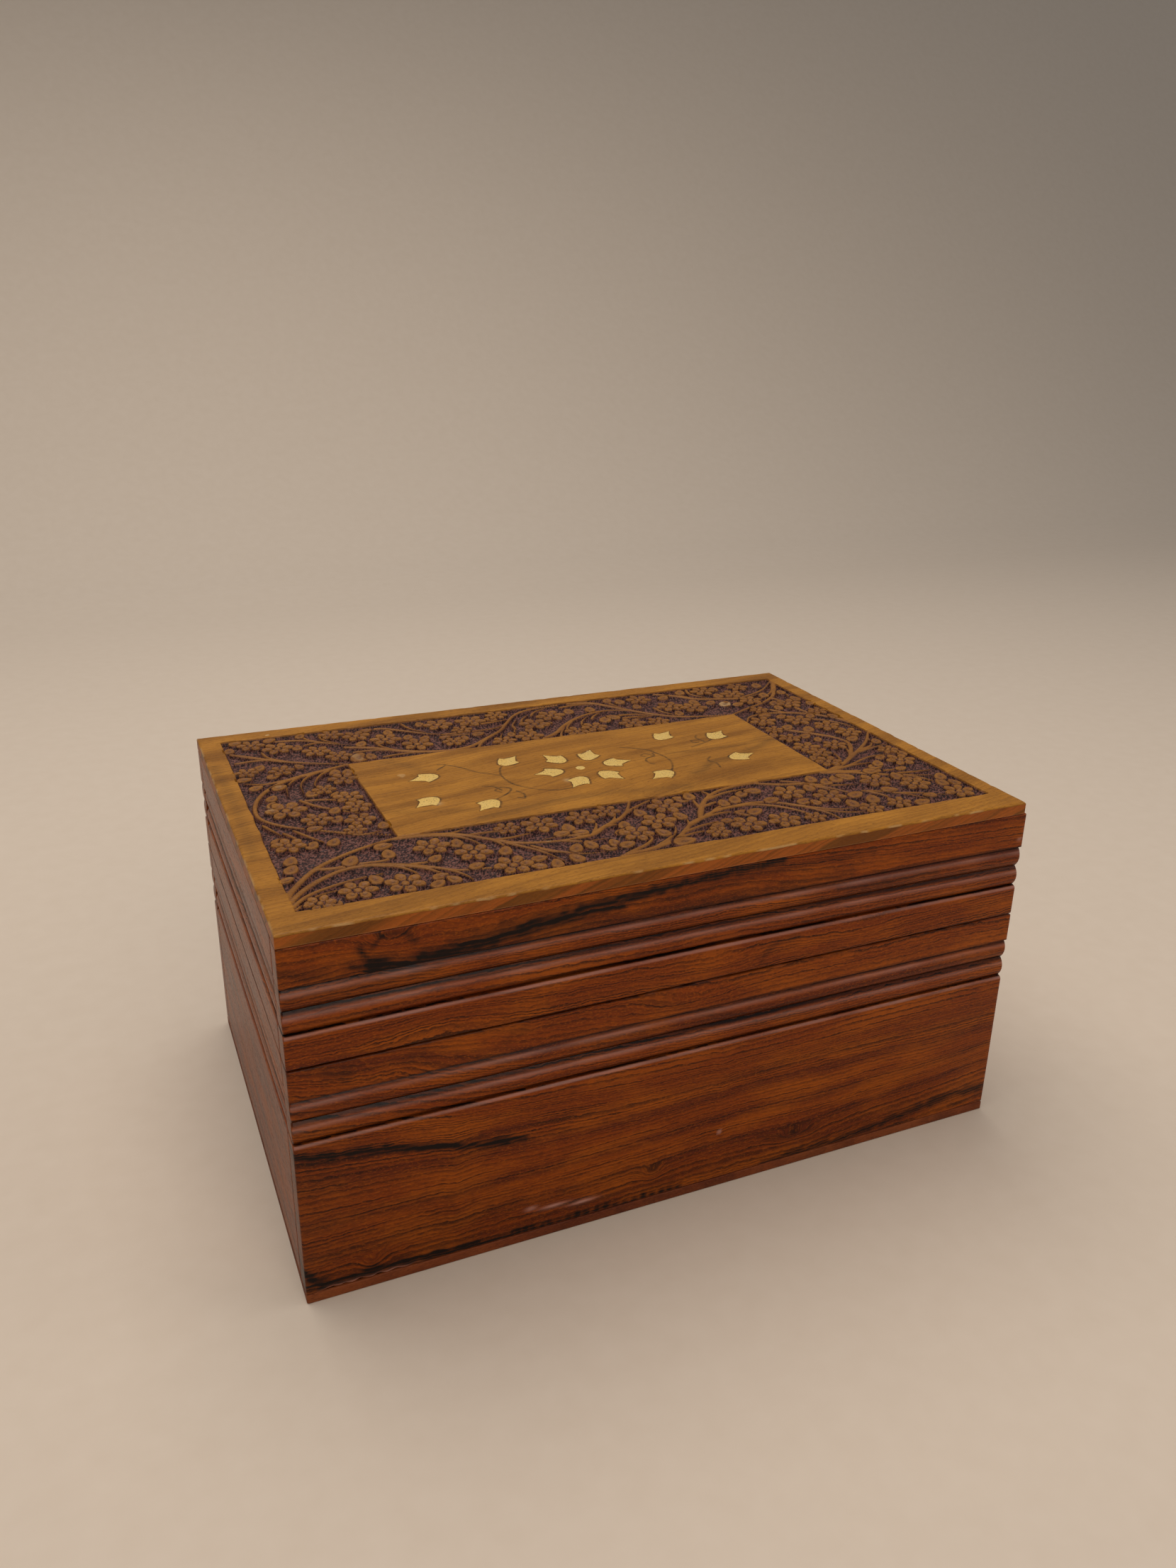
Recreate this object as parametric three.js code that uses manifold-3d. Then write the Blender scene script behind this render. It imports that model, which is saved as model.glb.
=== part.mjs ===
// Jewelry box: a routed rosewood case with a hinged lid, a carved and brass-inlaid lid board,
// brass butt hinges let into the rims, velvet linings and a lift-out tray.
// Millimetres, +Z up, front towards -Y, +X to the right. The origin is on the surface the box
// stands on, under the middle of its overall size, hinge knuckles included.

import * as THREE from 'three';
import { mergeVertices } from 'three/addons/utils/BufferGeometryUtils.js';
import Module from 'manifold-3d';

const wasm = await Module();
wasm.setup();

// Case
const caseLength = 305;
const caseDepth = 201;
const caseHeight = 151;
const wallThickness = 10;
const bottomThickness = 4;
const topThickness = 5;
const topShortfall = 1.5; // the top board stops this short of the right wall's face
const seamHeight = 99.5;
const seamGap = 0.6;
const fitGap = 0.3; // left between any two pieces that are fixed to each other
const cutPast = 3; // how far a cutter runs out past the face it cuts

// Routed beads, the same cutter on lid and base
const beadPitch = 8.2;
const beadCount = 2;
const grooveDepth = 2.2;
const beadSunk = 0.15; // crest of a bead below the wall's face
const quirk = 0.2; // flat at the bottom of the top groove
const bandRounding = 1.6; // rounded edge of the flat band under the beads
const lidBeadTop = 129.8;
const baseBeadTop = 86.7;

// Lid board: plain frame, sunk carved band, plaque in the middle
const frameSide = 9.2;
const frameBack = 9.8;
const frameFront = 13.7;
const bandWidth = 47.4;
const bandDepth = 2;

// Brass inlay
const inlayThickness = 1.2;
const pocketGrowth = 1.08;
const dotRadius = 2.1;
const dotPlace = [-3.7, 1.1];
const inlayPlaces = [
  ['inlay_petal_east', 14.3, 1.9, 0],
  ['inlay_petal_northeast', 6.0, 14.8, 61],
  ['inlay_petal_northwest', -10.2, 15.8, 117],
  ['inlay_petal_west', -18.5, 0.6, 180],
  ['inlay_petal_southwest', -10.9, -14.0, 227],
  ['inlay_petal_southeast', 5.4, -11.8, 299],
  ['inlay_leaf_a', -29.6, 20.6, 42],
  ['inlay_leaf_b', 25.8, -19.2, 207],
  ['inlay_leaf_c', 49.2, 26.3, 41],
  ['inlay_leaf_d', 73.0, 18.3, 41],
  ['inlay_leaf_e', 69.8, -11.0, 10],
  ['inlay_leaf_f', -70.1, 13.7, 191],
  ['inlay_leaf_g', -76.4, -12.6, 215],
  ['inlay_leaf_h', -54.5, -24.3, 222],
];

// Hinges: knuckles half let in, so the lid's rim lands on the base's rim when it is wide open
const hingeOffset = 95;
const leafLength = 25;
const leafReach = 8;
const leafThickness = 1;
const knuckleRadius = 2;
const knuckleGap = 0.2;
const pinRadius = 0.9;
const pinBore = 1.05;
const pinInset = 0.2; // pin axis inside the back face
const screwSpread = 16;
const screwHead = 2.1;
const screwShank = 1.1;
const screwLength = 8.5;
const screwPoint = 2;
const screwTip = 0.35;
const screwSlot = 0.5;
const screwInset = leafReach / 2 + 0.9; // from the pin's axis to the screws
const roundSides = 20;

// Velvet linings and tray ledges
const liningThickness = 1.2;
const floorLiningThickness = 2;
const ledgeWidth = 6;
const ledgeHeight = 5;
const ledgeTop = 69.9;

// Tray
const traySideGap = 2;
const trayFrontGap = 3;
const trayHeight = 28;
const trayWall = 5;
const trayFloor = 3;
const trayDivider = 4;
const dividerDrop = 4; // dividers stand this much lower than the tray walls
const padThickness = 3;
const ringSpace = 52;
const rollCount = 4;
const rollHeight = 15;

// Places worked out from the sizes above
const knuckleProud = knuckleRadius - pinInset;
const frontFace = -(caseDepth + knuckleProud) / 2;
const backFace = frontFace + caseDepth;
const sideFace = caseLength / 2;
const middleY = (frontFace + backFace) / 2;
const pinY = backFace - pinInset;
const baseRim = seamHeight - seamGap / 2;
const lidRim = seamHeight + seamGap / 2;
const baseWallLow = bottomThickness + fitGap;
const lidWallHigh = caseHeight - topThickness - fitGap;
const innerX = sideFace - wallThickness;
const innerFront = frontFace + wallThickness;
const innerBack = backFace - wallThickness;

// Materials
const woodRed = { color: 0x7a3b1a, roughness: 0.35, metalness: 0 };
const woodTop = { color: 0x8a5a2b, roughness: 0.45, metalness: 0 };
const woodPlain = { color: 0x8f5a32, roughness: 0.6, metalness: 0 };
const brassBright = { color: 0xcfae62, roughness: 0.4, metalness: 1 };
const brassHinge = { color: 0xb08a45, roughness: 0.35, metalness: 1 };
const velvetRed = { color: 0x6e1024, roughness: 0.95, metalness: 0 };

// A closed geometry as a solid that can be joined and cut.
function toSolid(geometry) {
  const bare = geometry.clone();
  bare.deleteAttribute('normal');
  bare.deleteAttribute('uv');
  const merged = mergeVertices(bare, 1e-4);
  return new wasm.Manifold(new wasm.Mesh({
    numProp: 3,
    vertProperties: new Float32Array(merged.attributes.position.array),
    triVerts: new Uint32Array(merged.index.array),
  }));
}

// A solid back as a three.js geometry.
function toGeometry(solid) {
  const mesh = solid.getMesh();
  const geometry = new THREE.BufferGeometry();
  geometry.setAttribute('position', new THREE.BufferAttribute(mesh.vertProperties, 3));
  geometry.setIndex(new THREE.BufferAttribute(mesh.triVerts, 1));
  geometry.computeVertexNormals();
  return geometry;
}

// Cut every geometry of a list out of one body.
function cutAll(body, cutters) {
  let solid = toSolid(body);
  for (const cutter of cutters) {
    solid = solid.subtract(toSolid(cutter));
  }
  return toGeometry(solid);
}

// Join every geometry of a list into one body.
function joinAll(geometries) {
  let solid = toSolid(geometries[0]);
  for (const geometry of geometries.slice(1)) {
    solid = solid.add(toSolid(geometry));
  }
  return toGeometry(solid);
}

// A box given by its lowest and highest corners.
function boxBetween(low, high) {
  const size = high.map((value, axis) => value - low[axis]);
  const geometry = new THREE.BoxGeometry(...size);
  geometry.translate((low[0] + high[0]) / 2, (low[1] + high[1]) / 2, (low[2] + high[2]) / 2);
  return geometry;
}

// A round bar along X between two places on an axis at (y, z).
function barAlongX(radius, fromX, toX, y = 0, z = 0) {
  const geometry = new THREE.CylinderGeometry(radius, radius, toX - fromX, roundSides);
  geometry.rotateZ(Math.PI / 2);
  geometry.translate((fromX + toX) / 2, y, z);
  return geometry;
}

function placed(name, geometry, finish, x, y, z, turn = 0) {
  const mesh = new THREE.Mesh(geometry, new THREE.MeshStandardMaterial(finish));
  mesh.name = name;
  mesh.position.set(x, y, z);
  mesh.rotation.z = turn;
  return mesh;
}

// The routing cutter, run along X past a face at y = 0 with the wood at y > 0.
// Its top groove has its upper side at z = 0; every bead is an arc between two grooves.
function routCutter(length) {
  const outside = -cutPast;
  const arcSteps = 6;
  const profile = new THREE.Shape();
  profile.moveTo(outside, 0);
  profile.lineTo(grooveDepth, 0);
  const rise = grooveDepth - beadSunk;
  const radius = (beadPitch * beadPitch / 4 + rise * rise) / (2 * rise);
  const halfAngle = Math.asin(beadPitch / 2 / radius);
  for (let bead = 0; bead < beadCount; bead += 1) {
    const middle = -quirk - beadPitch * (bead + 0.5);
    for (let step = 0; step <= arcSteps; step += 1) {
      const angle = halfAngle * (1 - 2 * step / arcSteps);
      profile.lineTo(beadSunk + radius * (1 - Math.cos(angle)), middle + radius * Math.sin(angle));
    }
  }
  const foot = -quirk - beadPitch * beadCount;
  const roundingSteps = 3;
  for (let step = 0; step <= roundingSteps; step += 1) {
    const angle = Math.PI / 2 * step / roundingSteps;
    const depth = bandRounding * (1 - Math.sin(angle));
    profile.lineTo(depth, foot - bandRounding * (1 - Math.cos(angle)));
  }
  profile.lineTo(outside, foot - bandRounding);
  const geometry = new THREE.ExtrudeGeometry(profile, { depth: length, bevelEnabled: false });
  geometry.translate(0, 0, -length / 2);
  geometry.rotateX(Math.PI / 2);
  geometry.rotateZ(Math.PI / 2);
  return geometry;
}

// A routed wall board. Its outer face is at y = 0 and its lower edge at z = 0, with the length
// along X. A board that laps over its neighbours' ends shows the cutter's mark at both ends too.
function routedWall(length, height, beadTop, laps, cuts = []) {
  const board = boxBetween([-length / 2, 0, 0], [length / 2, wallThickness, height]);
  const face = routCutter(length + 2 * cutPast);
  face.translate(0, 0, beadTop);
  const cutters = [face, ...cuts];
  if (laps) {
    for (const side of [-1, 1]) {
      const end = routCutter(2 * (wallThickness + cutPast));
      end.rotateZ(side * Math.PI / 2);
      end.translate(side * length / 2, 0, beadTop);
      cutters.push(end);
    }
  }
  return cutAll(board, cutters);
}

// What the two hinges take out of a back wall whose rim is at height rim. way is -1 where the
// wood is below the rim and 1 where it is above it.
function hingeMortises(rim, way) {
  const axisZ = rim - way * seamGap / 2;
  const cuts = [];
  for (const side of [-1, 1]) {
    const middle = side * hingeOffset;
    const halfLength = leafLength / 2 + fitGap;
    const floor = axisZ + way * (knuckleGap + leafThickness + fitGap);
    const open = axisZ - way * knuckleRadius;
    const low = [middle - halfLength, -cutPast, Math.min(floor, open)];
    const high = [middle + halfLength, pinInset + leafReach + fitGap, Math.max(floor, open)];
    cuts.push(boxBetween(low, high));
    const clearRadius = knuckleRadius + fitGap;
    cuts.push(barAlongX(clearRadius, middle - halfLength, middle + halfLength, pinInset, axisZ));
    const pilotRadius = screwShank + fitGap;
    const pilotDepth = screwLength + fitGap;
    for (const screw of [-1, 1]) {
      const pilot = new THREE.CylinderGeometry(pilotRadius, pilotRadius, pilotDepth, roundSides);
      const pilotX = middle + screw * screwSpread / 2;
      pilot.rotateX(Math.PI / 2);
      pilot.translate(pilotX, pinInset + screwInset, axisZ + way * (knuckleGap + pilotDepth / 2));
      cuts.push(pilot);
    }
  }
  return cuts;
}

// Four walls of the lid or of the base, from one height to another.
function wallSet(label, low, high, beadTop, backCuts) {
  const height = high - low;
  const bead = beadTop - low;
  const sideLength = caseDepth - 2 * wallThickness - 2 * fitGap;
  const long = routedWall(caseLength, height, bead, true);
  const back = routedWall(caseLength, height, bead, true, backCuts);
  const side = routedWall(sideLength, height, bead, false);
  return [
    placed(`${label}_front_wall`, long, woodRed, 0, frontFace, low),
    placed(`${label}_back_wall`, back, woodRed, 0, backFace, low, Math.PI),
    placed(`${label}_left_wall`, side, woodRed, -sideFace, middleY, low, -Math.PI / 2),
    placed(`${label}_right_wall`, side.clone(), woodRed, sideFace, middleY, low, Math.PI / 2),
  ];
}

// Outline of one brass leaf, pointing along +X: round heel, two side tips and a long tip.
function leafShape(scale) {
  const heel = -6.7 * scale;
  const tip = 6.8 * scale;
  const sideTip = [0.4 * scale, 5.1 * scale];
  const notch = [0.9 * scale, 3.0 * scale];
  const shoulder = [-5.4 * scale, 2.6 * scale];
  const heelSide = 1.8 * scale;
  const shape = new THREE.Shape();
  shape.moveTo(tip, 0);
  shape.lineTo(notch[0], notch[1]);
  shape.lineTo(sideTip[0], sideTip[1]);
  shape.lineTo(shoulder[0], shoulder[1]);
  shape.quadraticCurveTo(heel, heelSide, heel, 0);
  shape.quadraticCurveTo(heel, -heelSide, shoulder[0], -shoulder[1]);
  shape.lineTo(sideTip[0], -sideTip[1]);
  shape.lineTo(notch[0], -notch[1]);
  shape.closePath();
  return shape;
}

// A brass leaf, or the pocket for one, with its top at z = 0.
function leafBody(scale, thickness, above) {
  const settings = { depth: thickness + above, bevelEnabled: false, curveSegments: 3 };
  const geometry = new THREE.ExtrudeGeometry(leafShape(scale), settings);
  geometry.translate(0, 0, -thickness);
  return geometry;
}

function dotBody(radius, thickness, above) {
  const geometry = new THREE.CylinderGeometry(radius, radius, thickness + above, roundSides);
  geometry.rotateX(Math.PI / 2);
  geometry.translate(0, 0, (above - thickness) / 2);
  return geometry;
}

// The lid's top board: a sunk band round a flat plaque, and a pocket for each inlay.
function lidTopBoard() {
  const left = -sideFace;
  const right = sideFace - topShortfall;
  const board = boxBetween([left, frontFace, -topThickness], [right, backFace, 0]);
  const fieldX = sideFace - frameSide;
  const fieldFront = frontFace + frameFront;
  const fieldBack = backFace - frameBack;
  const outer = boxBetween([-fieldX, fieldFront, -bandDepth], [fieldX, fieldBack, cutPast]);
  const plaqueX = fieldX - bandWidth;
  const plaqueLow = [-plaqueX, fieldFront + bandWidth, -topThickness];
  const plaque = boxBetween(plaqueLow, [plaqueX, fieldBack - bandWidth, 2 * cutPast]);
  const band = toGeometry(toSolid(outer).subtract(toSolid(plaque)));
  const cutters = [band];
  for (const [, x, y, turn] of inlayPlaces) {
    const pocket = leafBody(pocketGrowth, inlayThickness + fitGap, cutPast);
    pocket.rotateZ(THREE.MathUtils.degToRad(turn));
    pocket.translate(x, y, 0);
    cutters.push(pocket);
  }
  const dotPocket = dotBody(dotRadius + fitGap, inlayThickness + fitGap, cutPast);
  dotPocket.translate(dotPlace[0], dotPlace[1], 0);
  cutters.push(dotPocket);
  return placed('lid_top_board', cutAll(board, cutters), woodTop, 0, 0, caseHeight);
}

function inlays() {
  const meshes = inlayPlaces.map(([name, x, y, turn]) => {
    const leaf = leafBody(1, inlayThickness, 0);
    return placed(name, leaf, brassBright, x, y, caseHeight, THREE.MathUtils.degToRad(turn));
  });
  const dot = dotBody(dotRadius, inlayThickness, 0);
  meshes.push(placed('inlay_centre_dot', dot, brassBright, dotPlace[0], dotPlace[1], caseHeight));
  return meshes;
}

// Profile of a countersunk screw with its flat head at z = 0 and its point below, grown by gap.
function screwBody(gap = 0) {
  const profile = [
    [0, -screwLength - gap],
    [screwTip + gap, -screwLength],
    [screwShank + gap, screwPoint - screwLength],
    [screwShank + gap, -leafThickness],
    [screwHead + gap, 0],
    [0, 0],
  ];
  const points = profile.map(([radius, z]) => new THREE.Vector2(radius, z));
  const geometry = new THREE.LatheGeometry(points, roundSides);
  geometry.rotateX(Math.PI / 2);
  return geometry;
}

function slottedScrew() {
  const slotEnd = screwHead + cutPast;
  const slot = boxBetween([-slotEnd, -screwSlot / 2, -screwSlot], [slotEnd, screwSlot / 2, cutPast]);
  return cutAll(screwBody(), [slot]);
}

// One leaf of a butt hinge about a pin along X at the origin, its plate reaching to -Y.
// way is -1 for the leaf under the pin's level and 1 for the leaf over it.
function hingeLeaf(way, ownKnuckles, otherKnuckles) {
  const nearZ = way * knuckleGap;
  const farZ = way * (knuckleGap + leafThickness);
  const low = [-leafLength / 2, -leafReach, Math.min(nearZ, farZ)];
  const high = [leafLength / 2, 0, Math.max(nearZ, farZ)];
  const pieces = [boxBetween(low, high)];
  for (const [fromX, toX] of ownKnuckles) {
    pieces.push(barAlongX(knuckleRadius, fromX, toX));
  }
  const cutters = [barAlongX(pinBore, -leafLength, leafLength)];
  for (const [fromX, toX] of otherKnuckles) {
    const clearRadius = knuckleRadius + fitGap;
    cutters.push(barAlongX(clearRadius, fromX - knuckleGap, toX + knuckleGap));
  }
  for (const side of [-1, 1]) {
    const hole = screwBody(fitGap / 2);
    if (way > 0) {
      hole.rotateX(Math.PI);
    }
    hole.translate(side * screwSpread / 2, -screwInset, nearZ);
    cutters.push(hole);
  }
  return cutAll(joinAll(pieces), cutters);
}

const knuckleEnd = leafLength / 2;
const middleKnuckle = leafLength / 6;
const outerKnuckles = [[-knuckleEnd, -middleKnuckle - knuckleGap], [middleKnuckle + knuckleGap, knuckleEnd]];
const innerKnuckle = [[-middleKnuckle, middleKnuckle]];

function hingeSide(way, label) {
  const meshes = [];
  for (const [side, sideName] of [[-1, 'left'], [1, 'right']]) {
    const own = way < 0 ? outerKnuckles : innerKnuckle;
    const other = way < 0 ? innerKnuckle : outerKnuckles;
    const middle = side * hingeOffset;
    const leaf = hingeLeaf(way, own, other);
    meshes.push(placed(`hinge_${sideName}_${label}_leaf`, leaf, brassHinge, middle, pinY, seamHeight));
    for (const [screw, screwName] of [[-1, 'a'], [1, 'b']]) {
      const body = slottedScrew();
      if (way > 0) {
        body.rotateX(Math.PI);
      }
      const name = `hinge_${sideName}_${label}_screw_${screwName}`;
      const x = middle + screw * screwSpread / 2;
      meshes.push(placed(name, body, brassHinge, x, pinY - screwInset, seamHeight + way * knuckleGap));
    }
  }
  return meshes;
}

function hingePins() {
  return [[-1, 'left'], [1, 'right']].map(([side, sideName]) => {
    const pin = barAlongX(pinRadius, -leafLength / 2, leafLength / 2);
    return placed(`hinge_${sideName}_pin`, pin, brassHinge, side * hingeOffset, pinY, seamHeight);
  });
}

function bottomBoard() {
  const board = boxBetween([-sideFace, frontFace, 0], [sideFace, backFace, bottomThickness]);
  return placed('bottom_board', board, woodPlain, 0, 0, 0);
}

// Velvet-covered card on the floor and on the four walls under the tray, and the two ledges.
function baseInside() {
  const floorLow = bottomThickness + fitGap;
  const floorHigh = floorLow + floorLiningThickness;
  const clearX = innerX - fitGap;
  const clearFront = innerFront + fitGap;
  const clearBack = innerBack - fitGap;
  const liningLow = floorHigh + fitGap;
  const liningHigh = ledgeTop - ledgeHeight - fitGap;
  const floor = boxBetween([-clearX, clearFront, floorLow], [clearX, clearBack, floorHigh]);
  const frontHigh = [clearX, clearFront + liningThickness, liningHigh];
  const front = boxBetween([-clearX, clearFront, liningLow], frontHigh);
  const backLow = [-clearX, clearBack - liningThickness, liningLow];
  const back = boxBetween(backLow, [clearX, clearBack, liningHigh]);
  const meshes = [
    placed('base_floor_lining', floor, velvetRed, 0, 0, 0),
    placed('base_front_lining', front, velvetRed, 0, 0, 0),
    placed('base_back_lining', back, velvetRed, 0, 0, 0),
  ];
  const sideFront = clearFront + liningThickness + fitGap;
  const sideBack = clearBack - liningThickness - fitGap;
  for (const [side, sideName] of [[-1, 'left'], [1, 'right']]) {
    const liningHalf = liningThickness / 2;
    const lining = boxBetween([-liningHalf, sideFront, liningLow], [liningHalf, sideBack, liningHigh]);
    const liningX = side * (clearX - liningHalf);
    meshes.push(placed(`base_${sideName}_lining`, lining, velvetRed, liningX, 0, 0));
    const ledgeLow = [-ledgeWidth / 2, clearFront, ledgeTop - ledgeHeight];
    const ledge = boxBetween(ledgeLow, [ledgeWidth / 2, clearBack, ledgeTop]);
    const ledgeX = side * (clearX - ledgeWidth / 2);
    meshes.push(placed(`tray_ledge_${sideName}`, ledge, woodPlain, ledgeX, 0, 0));
  }
  return meshes;
}

function lidLining() {
  const high = caseHeight - topThickness - fitGap;
  const low = high - floorLiningThickness;
  const clearX = innerX - fitGap;
  const pad = boxBetween([-clearX, innerFront + fitGap, low], [clearX, innerBack - fitGap, high]);
  return placed('lid_lining', pad, velvetRed, 0, 0, 0);
}

// Scalloped ring roll: half-round rolls side by side on a flat back, running along X.
function ringRoll(length, depth) {
  const rollWidth = depth / rollCount;
  const base = rollHeight - rollWidth / 2;
  const profile = new THREE.Shape();
  profile.moveTo(-depth / 2, 0);
  profile.lineTo(depth / 2, 0);
  const arcSteps = 7;
  for (let roll = 0; roll < rollCount; roll += 1) {
    const middle = depth / 2 - rollWidth * (roll + 0.5);
    for (let step = 0; step <= arcSteps; step += 1) {
      const angle = Math.PI * step / arcSteps;
      profile.lineTo(middle + rollWidth / 2 * Math.cos(angle), base + rollWidth / 2 * Math.sin(angle));
    }
  }
  profile.closePath();
  const geometry = new THREE.ExtrudeGeometry(profile, { depth: length, bevelEnabled: false });
  geometry.translate(0, 0, -length / 2);
  geometry.rotateX(Math.PI / 2);
  geometry.rotateZ(Math.PI / 2);
  return geometry;
}

// The lift-out tray, built about its own underside and set on the ledges.
function tray() {
  const group = new THREE.Group();
  const halfX = innerX - traySideGap;
  const front = innerFront + trayFrontGap;
  const back = innerBack - trayFrontGap;
  const low = trayFloor + fitGap;
  const dividerHigh = trayHeight - dividerDrop;
  const insideX = halfX - trayWall - fitGap;
  const insideFront = front + trayWall + fitGap;
  const insideBack = back - trayWall - fitGap;
  const dividerBack = insideBack - ringSpace;
  const dividerFront = dividerBack - trayDivider;
  const cellFront = dividerFront - fitGap;
  const shortX = (insideX * 2 - trayDivider * 2) / 6 + trayDivider / 2;
  const add = (name, finish, lowCorner, highCorner) => {
    group.add(placed(name, boxBetween(lowCorner, highCorner), finish, 0, 0, 0));
  };
  add('tray_floor', woodPlain, [-halfX, front, 0], [halfX, back, trayFloor]);
  add('tray_front_wall', woodRed, [-halfX, front, low], [halfX, front + trayWall, trayHeight]);
  add('tray_back_wall', woodRed, [-halfX, back - trayWall, low], [halfX, back, trayHeight]);
  add('tray_left_wall', woodRed, [-halfX, insideFront, low], [-halfX + trayWall, insideBack, trayHeight]);
  add('tray_right_wall', woodRed, [halfX - trayWall, insideFront, low], [halfX, insideBack, trayHeight]);
  add('tray_long_divider', woodRed, [-insideX, dividerFront, low], [insideX, dividerBack, dividerHigh]);
  for (const [side, sideName] of [[-1, 'left'], [1, 'right']]) {
    const middle = side * shortX;
    const lowCorner = [middle - trayDivider / 2, insideFront, low];
    const highCorner = [middle + trayDivider / 2, cellFront, dividerHigh];
    add(`tray_short_divider_${sideName}`, woodRed, lowCorner, highCorner);
  }
  const cells = [
    ['left', -insideX, -shortX - trayDivider / 2],
    ['middle', -shortX + trayDivider / 2, shortX - trayDivider / 2],
    ['right', shortX + trayDivider / 2, insideX],
  ];
  for (const [cellName, fromX, toX] of cells) {
    const lowCorner = [fromX + fitGap, insideFront + fitGap, low];
    const highCorner = [toX - fitGap, cellFront - fitGap, low + padThickness];
    add(`tray_pad_${cellName}`, velvetRed, lowCorner, highCorner);
  }
  const roll = ringRoll(insideX * 2 - fitGap * 2, ringSpace - fitGap * 2);
  group.add(placed('tray_ring_roll', roll, velvetRed, 0, dividerBack + ringSpace / 2, low));
  group.position.set(0, 0, ledgeTop + fitGap);
  return group;
}

const box = new THREE.Group();
box.add(bottomBoard());
box.add(...wallSet('base', baseWallLow, baseRim, baseBeadTop, hingeMortises(baseRim - baseWallLow, -1)));
box.add(...baseInside());
box.add(...hingeSide(-1, 'base'), ...hingePins());
box.add(lidTopBoard());
box.add(...wallSet('lid', lidRim, lidWallHigh, lidBeadTop, hingeMortises(0, 1)));
box.add(lidLining());
box.add(...hingeSide(1, 'lid'));
box.add(...inlays());
box.add(tray());

export default box;
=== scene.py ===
import math

import bpy
import numpy as np
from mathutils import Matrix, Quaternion, Vector


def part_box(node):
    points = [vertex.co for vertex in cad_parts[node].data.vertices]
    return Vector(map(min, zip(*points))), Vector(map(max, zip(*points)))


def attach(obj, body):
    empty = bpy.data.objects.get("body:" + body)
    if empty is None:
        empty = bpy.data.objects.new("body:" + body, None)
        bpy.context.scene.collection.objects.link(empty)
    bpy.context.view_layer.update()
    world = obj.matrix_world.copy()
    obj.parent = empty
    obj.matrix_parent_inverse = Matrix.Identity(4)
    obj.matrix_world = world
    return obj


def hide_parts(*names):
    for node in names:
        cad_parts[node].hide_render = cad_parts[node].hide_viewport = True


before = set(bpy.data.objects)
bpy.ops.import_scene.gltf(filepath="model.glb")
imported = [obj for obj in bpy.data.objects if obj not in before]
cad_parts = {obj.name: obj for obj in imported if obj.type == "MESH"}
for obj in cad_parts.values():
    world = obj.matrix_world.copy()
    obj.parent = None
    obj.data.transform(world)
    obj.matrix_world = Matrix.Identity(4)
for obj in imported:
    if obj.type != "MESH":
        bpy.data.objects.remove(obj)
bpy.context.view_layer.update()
mm = 0.001
print("frame loaded:", len(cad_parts), "nodes")


camera = dict(place=(-0.1977, -0.4516, 0.3381), aim=(-0.00045, 0.0, 0.1434), roll=0.835, lens=27.9)
floor = dict(half=3.0, rise=1.6, bend=0.5, back=1.7, steps=(60, 48))
lights = dict(
    worldColour="#eef1f6", worldStrength=0.30,
    soft=[
        # name, place, aim, size, watts, colour
        ("topSoftbox", (-0.2, 0.35, 1.5), (0, 0, 0.1), 1.5, 16, "#fff8f0"),
        ("frontFill", (-0.1, -1.5, 1.2), (0, 0, 0.07), 1.3, 9, "#fff1e2"),
        ("rightFill", (1.25, -0.5, 0.8), (0, 0, 0.07), 1.0, 2.5, "#fff4ea"),
    ],
)


# hex colour as the eye sees it, turned to linear light: ((c + 0.055) / 1.055) ^ 2.4 above 0.04045
def linear(colour):
    parts = np.array([int(colour[i:i + 2], 16) / 255 for i in (1, 3, 5)])
    low = parts / 12.92
    high = ((parts + 0.055) / 1.055) ** 2.4
    return (*np.where(parts > 0.04045, high, low).tolist(), 1.0)


def aimed(place, aim, roll=0.0):
    look = Vector(aim) - Vector(place)
    return look.to_track_quat("-Z", "Y") @ Quaternion((0, 0, 1), math.radians(roll))


def makeCamera():
    data = bpy.data.cameras.new("camera")
    data.lens = camera["lens"]
    data.sensor_width = 36
    data.clip_start = 0.02
    eye = bpy.data.objects.new("camera", data)
    eye.rotation_mode = "QUATERNION"
    eye.location = camera["place"]
    eye.rotation_quaternion = aimed(camera["place"], camera["aim"], camera["roll"])
    bpy.context.scene.collection.objects.link(eye)
    bpy.context.scene.camera = eye


def makeLights():
    for name, place, aim, size, watts, colour in lights["soft"]:
        data = bpy.data.lights.new(name, "AREA")
        data.shape = "DISK"
        data.size = size
        data.energy = watts
        data.color = linear(colour)[:3]
        lamp = bpy.data.objects.new(name, data)
        lamp.location = place
        lamp.rotation_mode = "QUATERNION"
        lamp.rotation_quaternion = aimed(place, aim)
        bpy.context.scene.collection.objects.link(lamp)
    world = bpy.data.worlds.new("studio")
    world.use_nodes = True
    sky = world.node_tree.nodes["Background"]
    sky.inputs["Color"].default_value = linear(lights["worldColour"])
    sky.inputs["Strength"].default_value = lights["worldStrength"]
    bpy.context.scene.world = world
    bpy.context.scene.view_settings.view_transform = "Standard"


makeCamera()
makeLights()
print("camera and lights set")


# one node with its settings, and its inputs as values or as links from other nodes' outputs
def addNode(tree, kind, inputs=None, **settings):
    node = tree.nodes.new("ShaderNode" + kind)
    for key, value in settings.items():
        setattr(node, key, value)
    for key, value in (inputs or {}).items():
        socket = node.inputs[key]
        if isinstance(value, bpy.types.Node):
            value = next(out for out in value.outputs if out.enabled)
        if isinstance(value, bpy.types.NodeSocket):
            tree.links.new(value, socket)
        elif isinstance(value, str):
            socket.default_value = linear(value)
        else:
            socket.default_value = value
    return node


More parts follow.
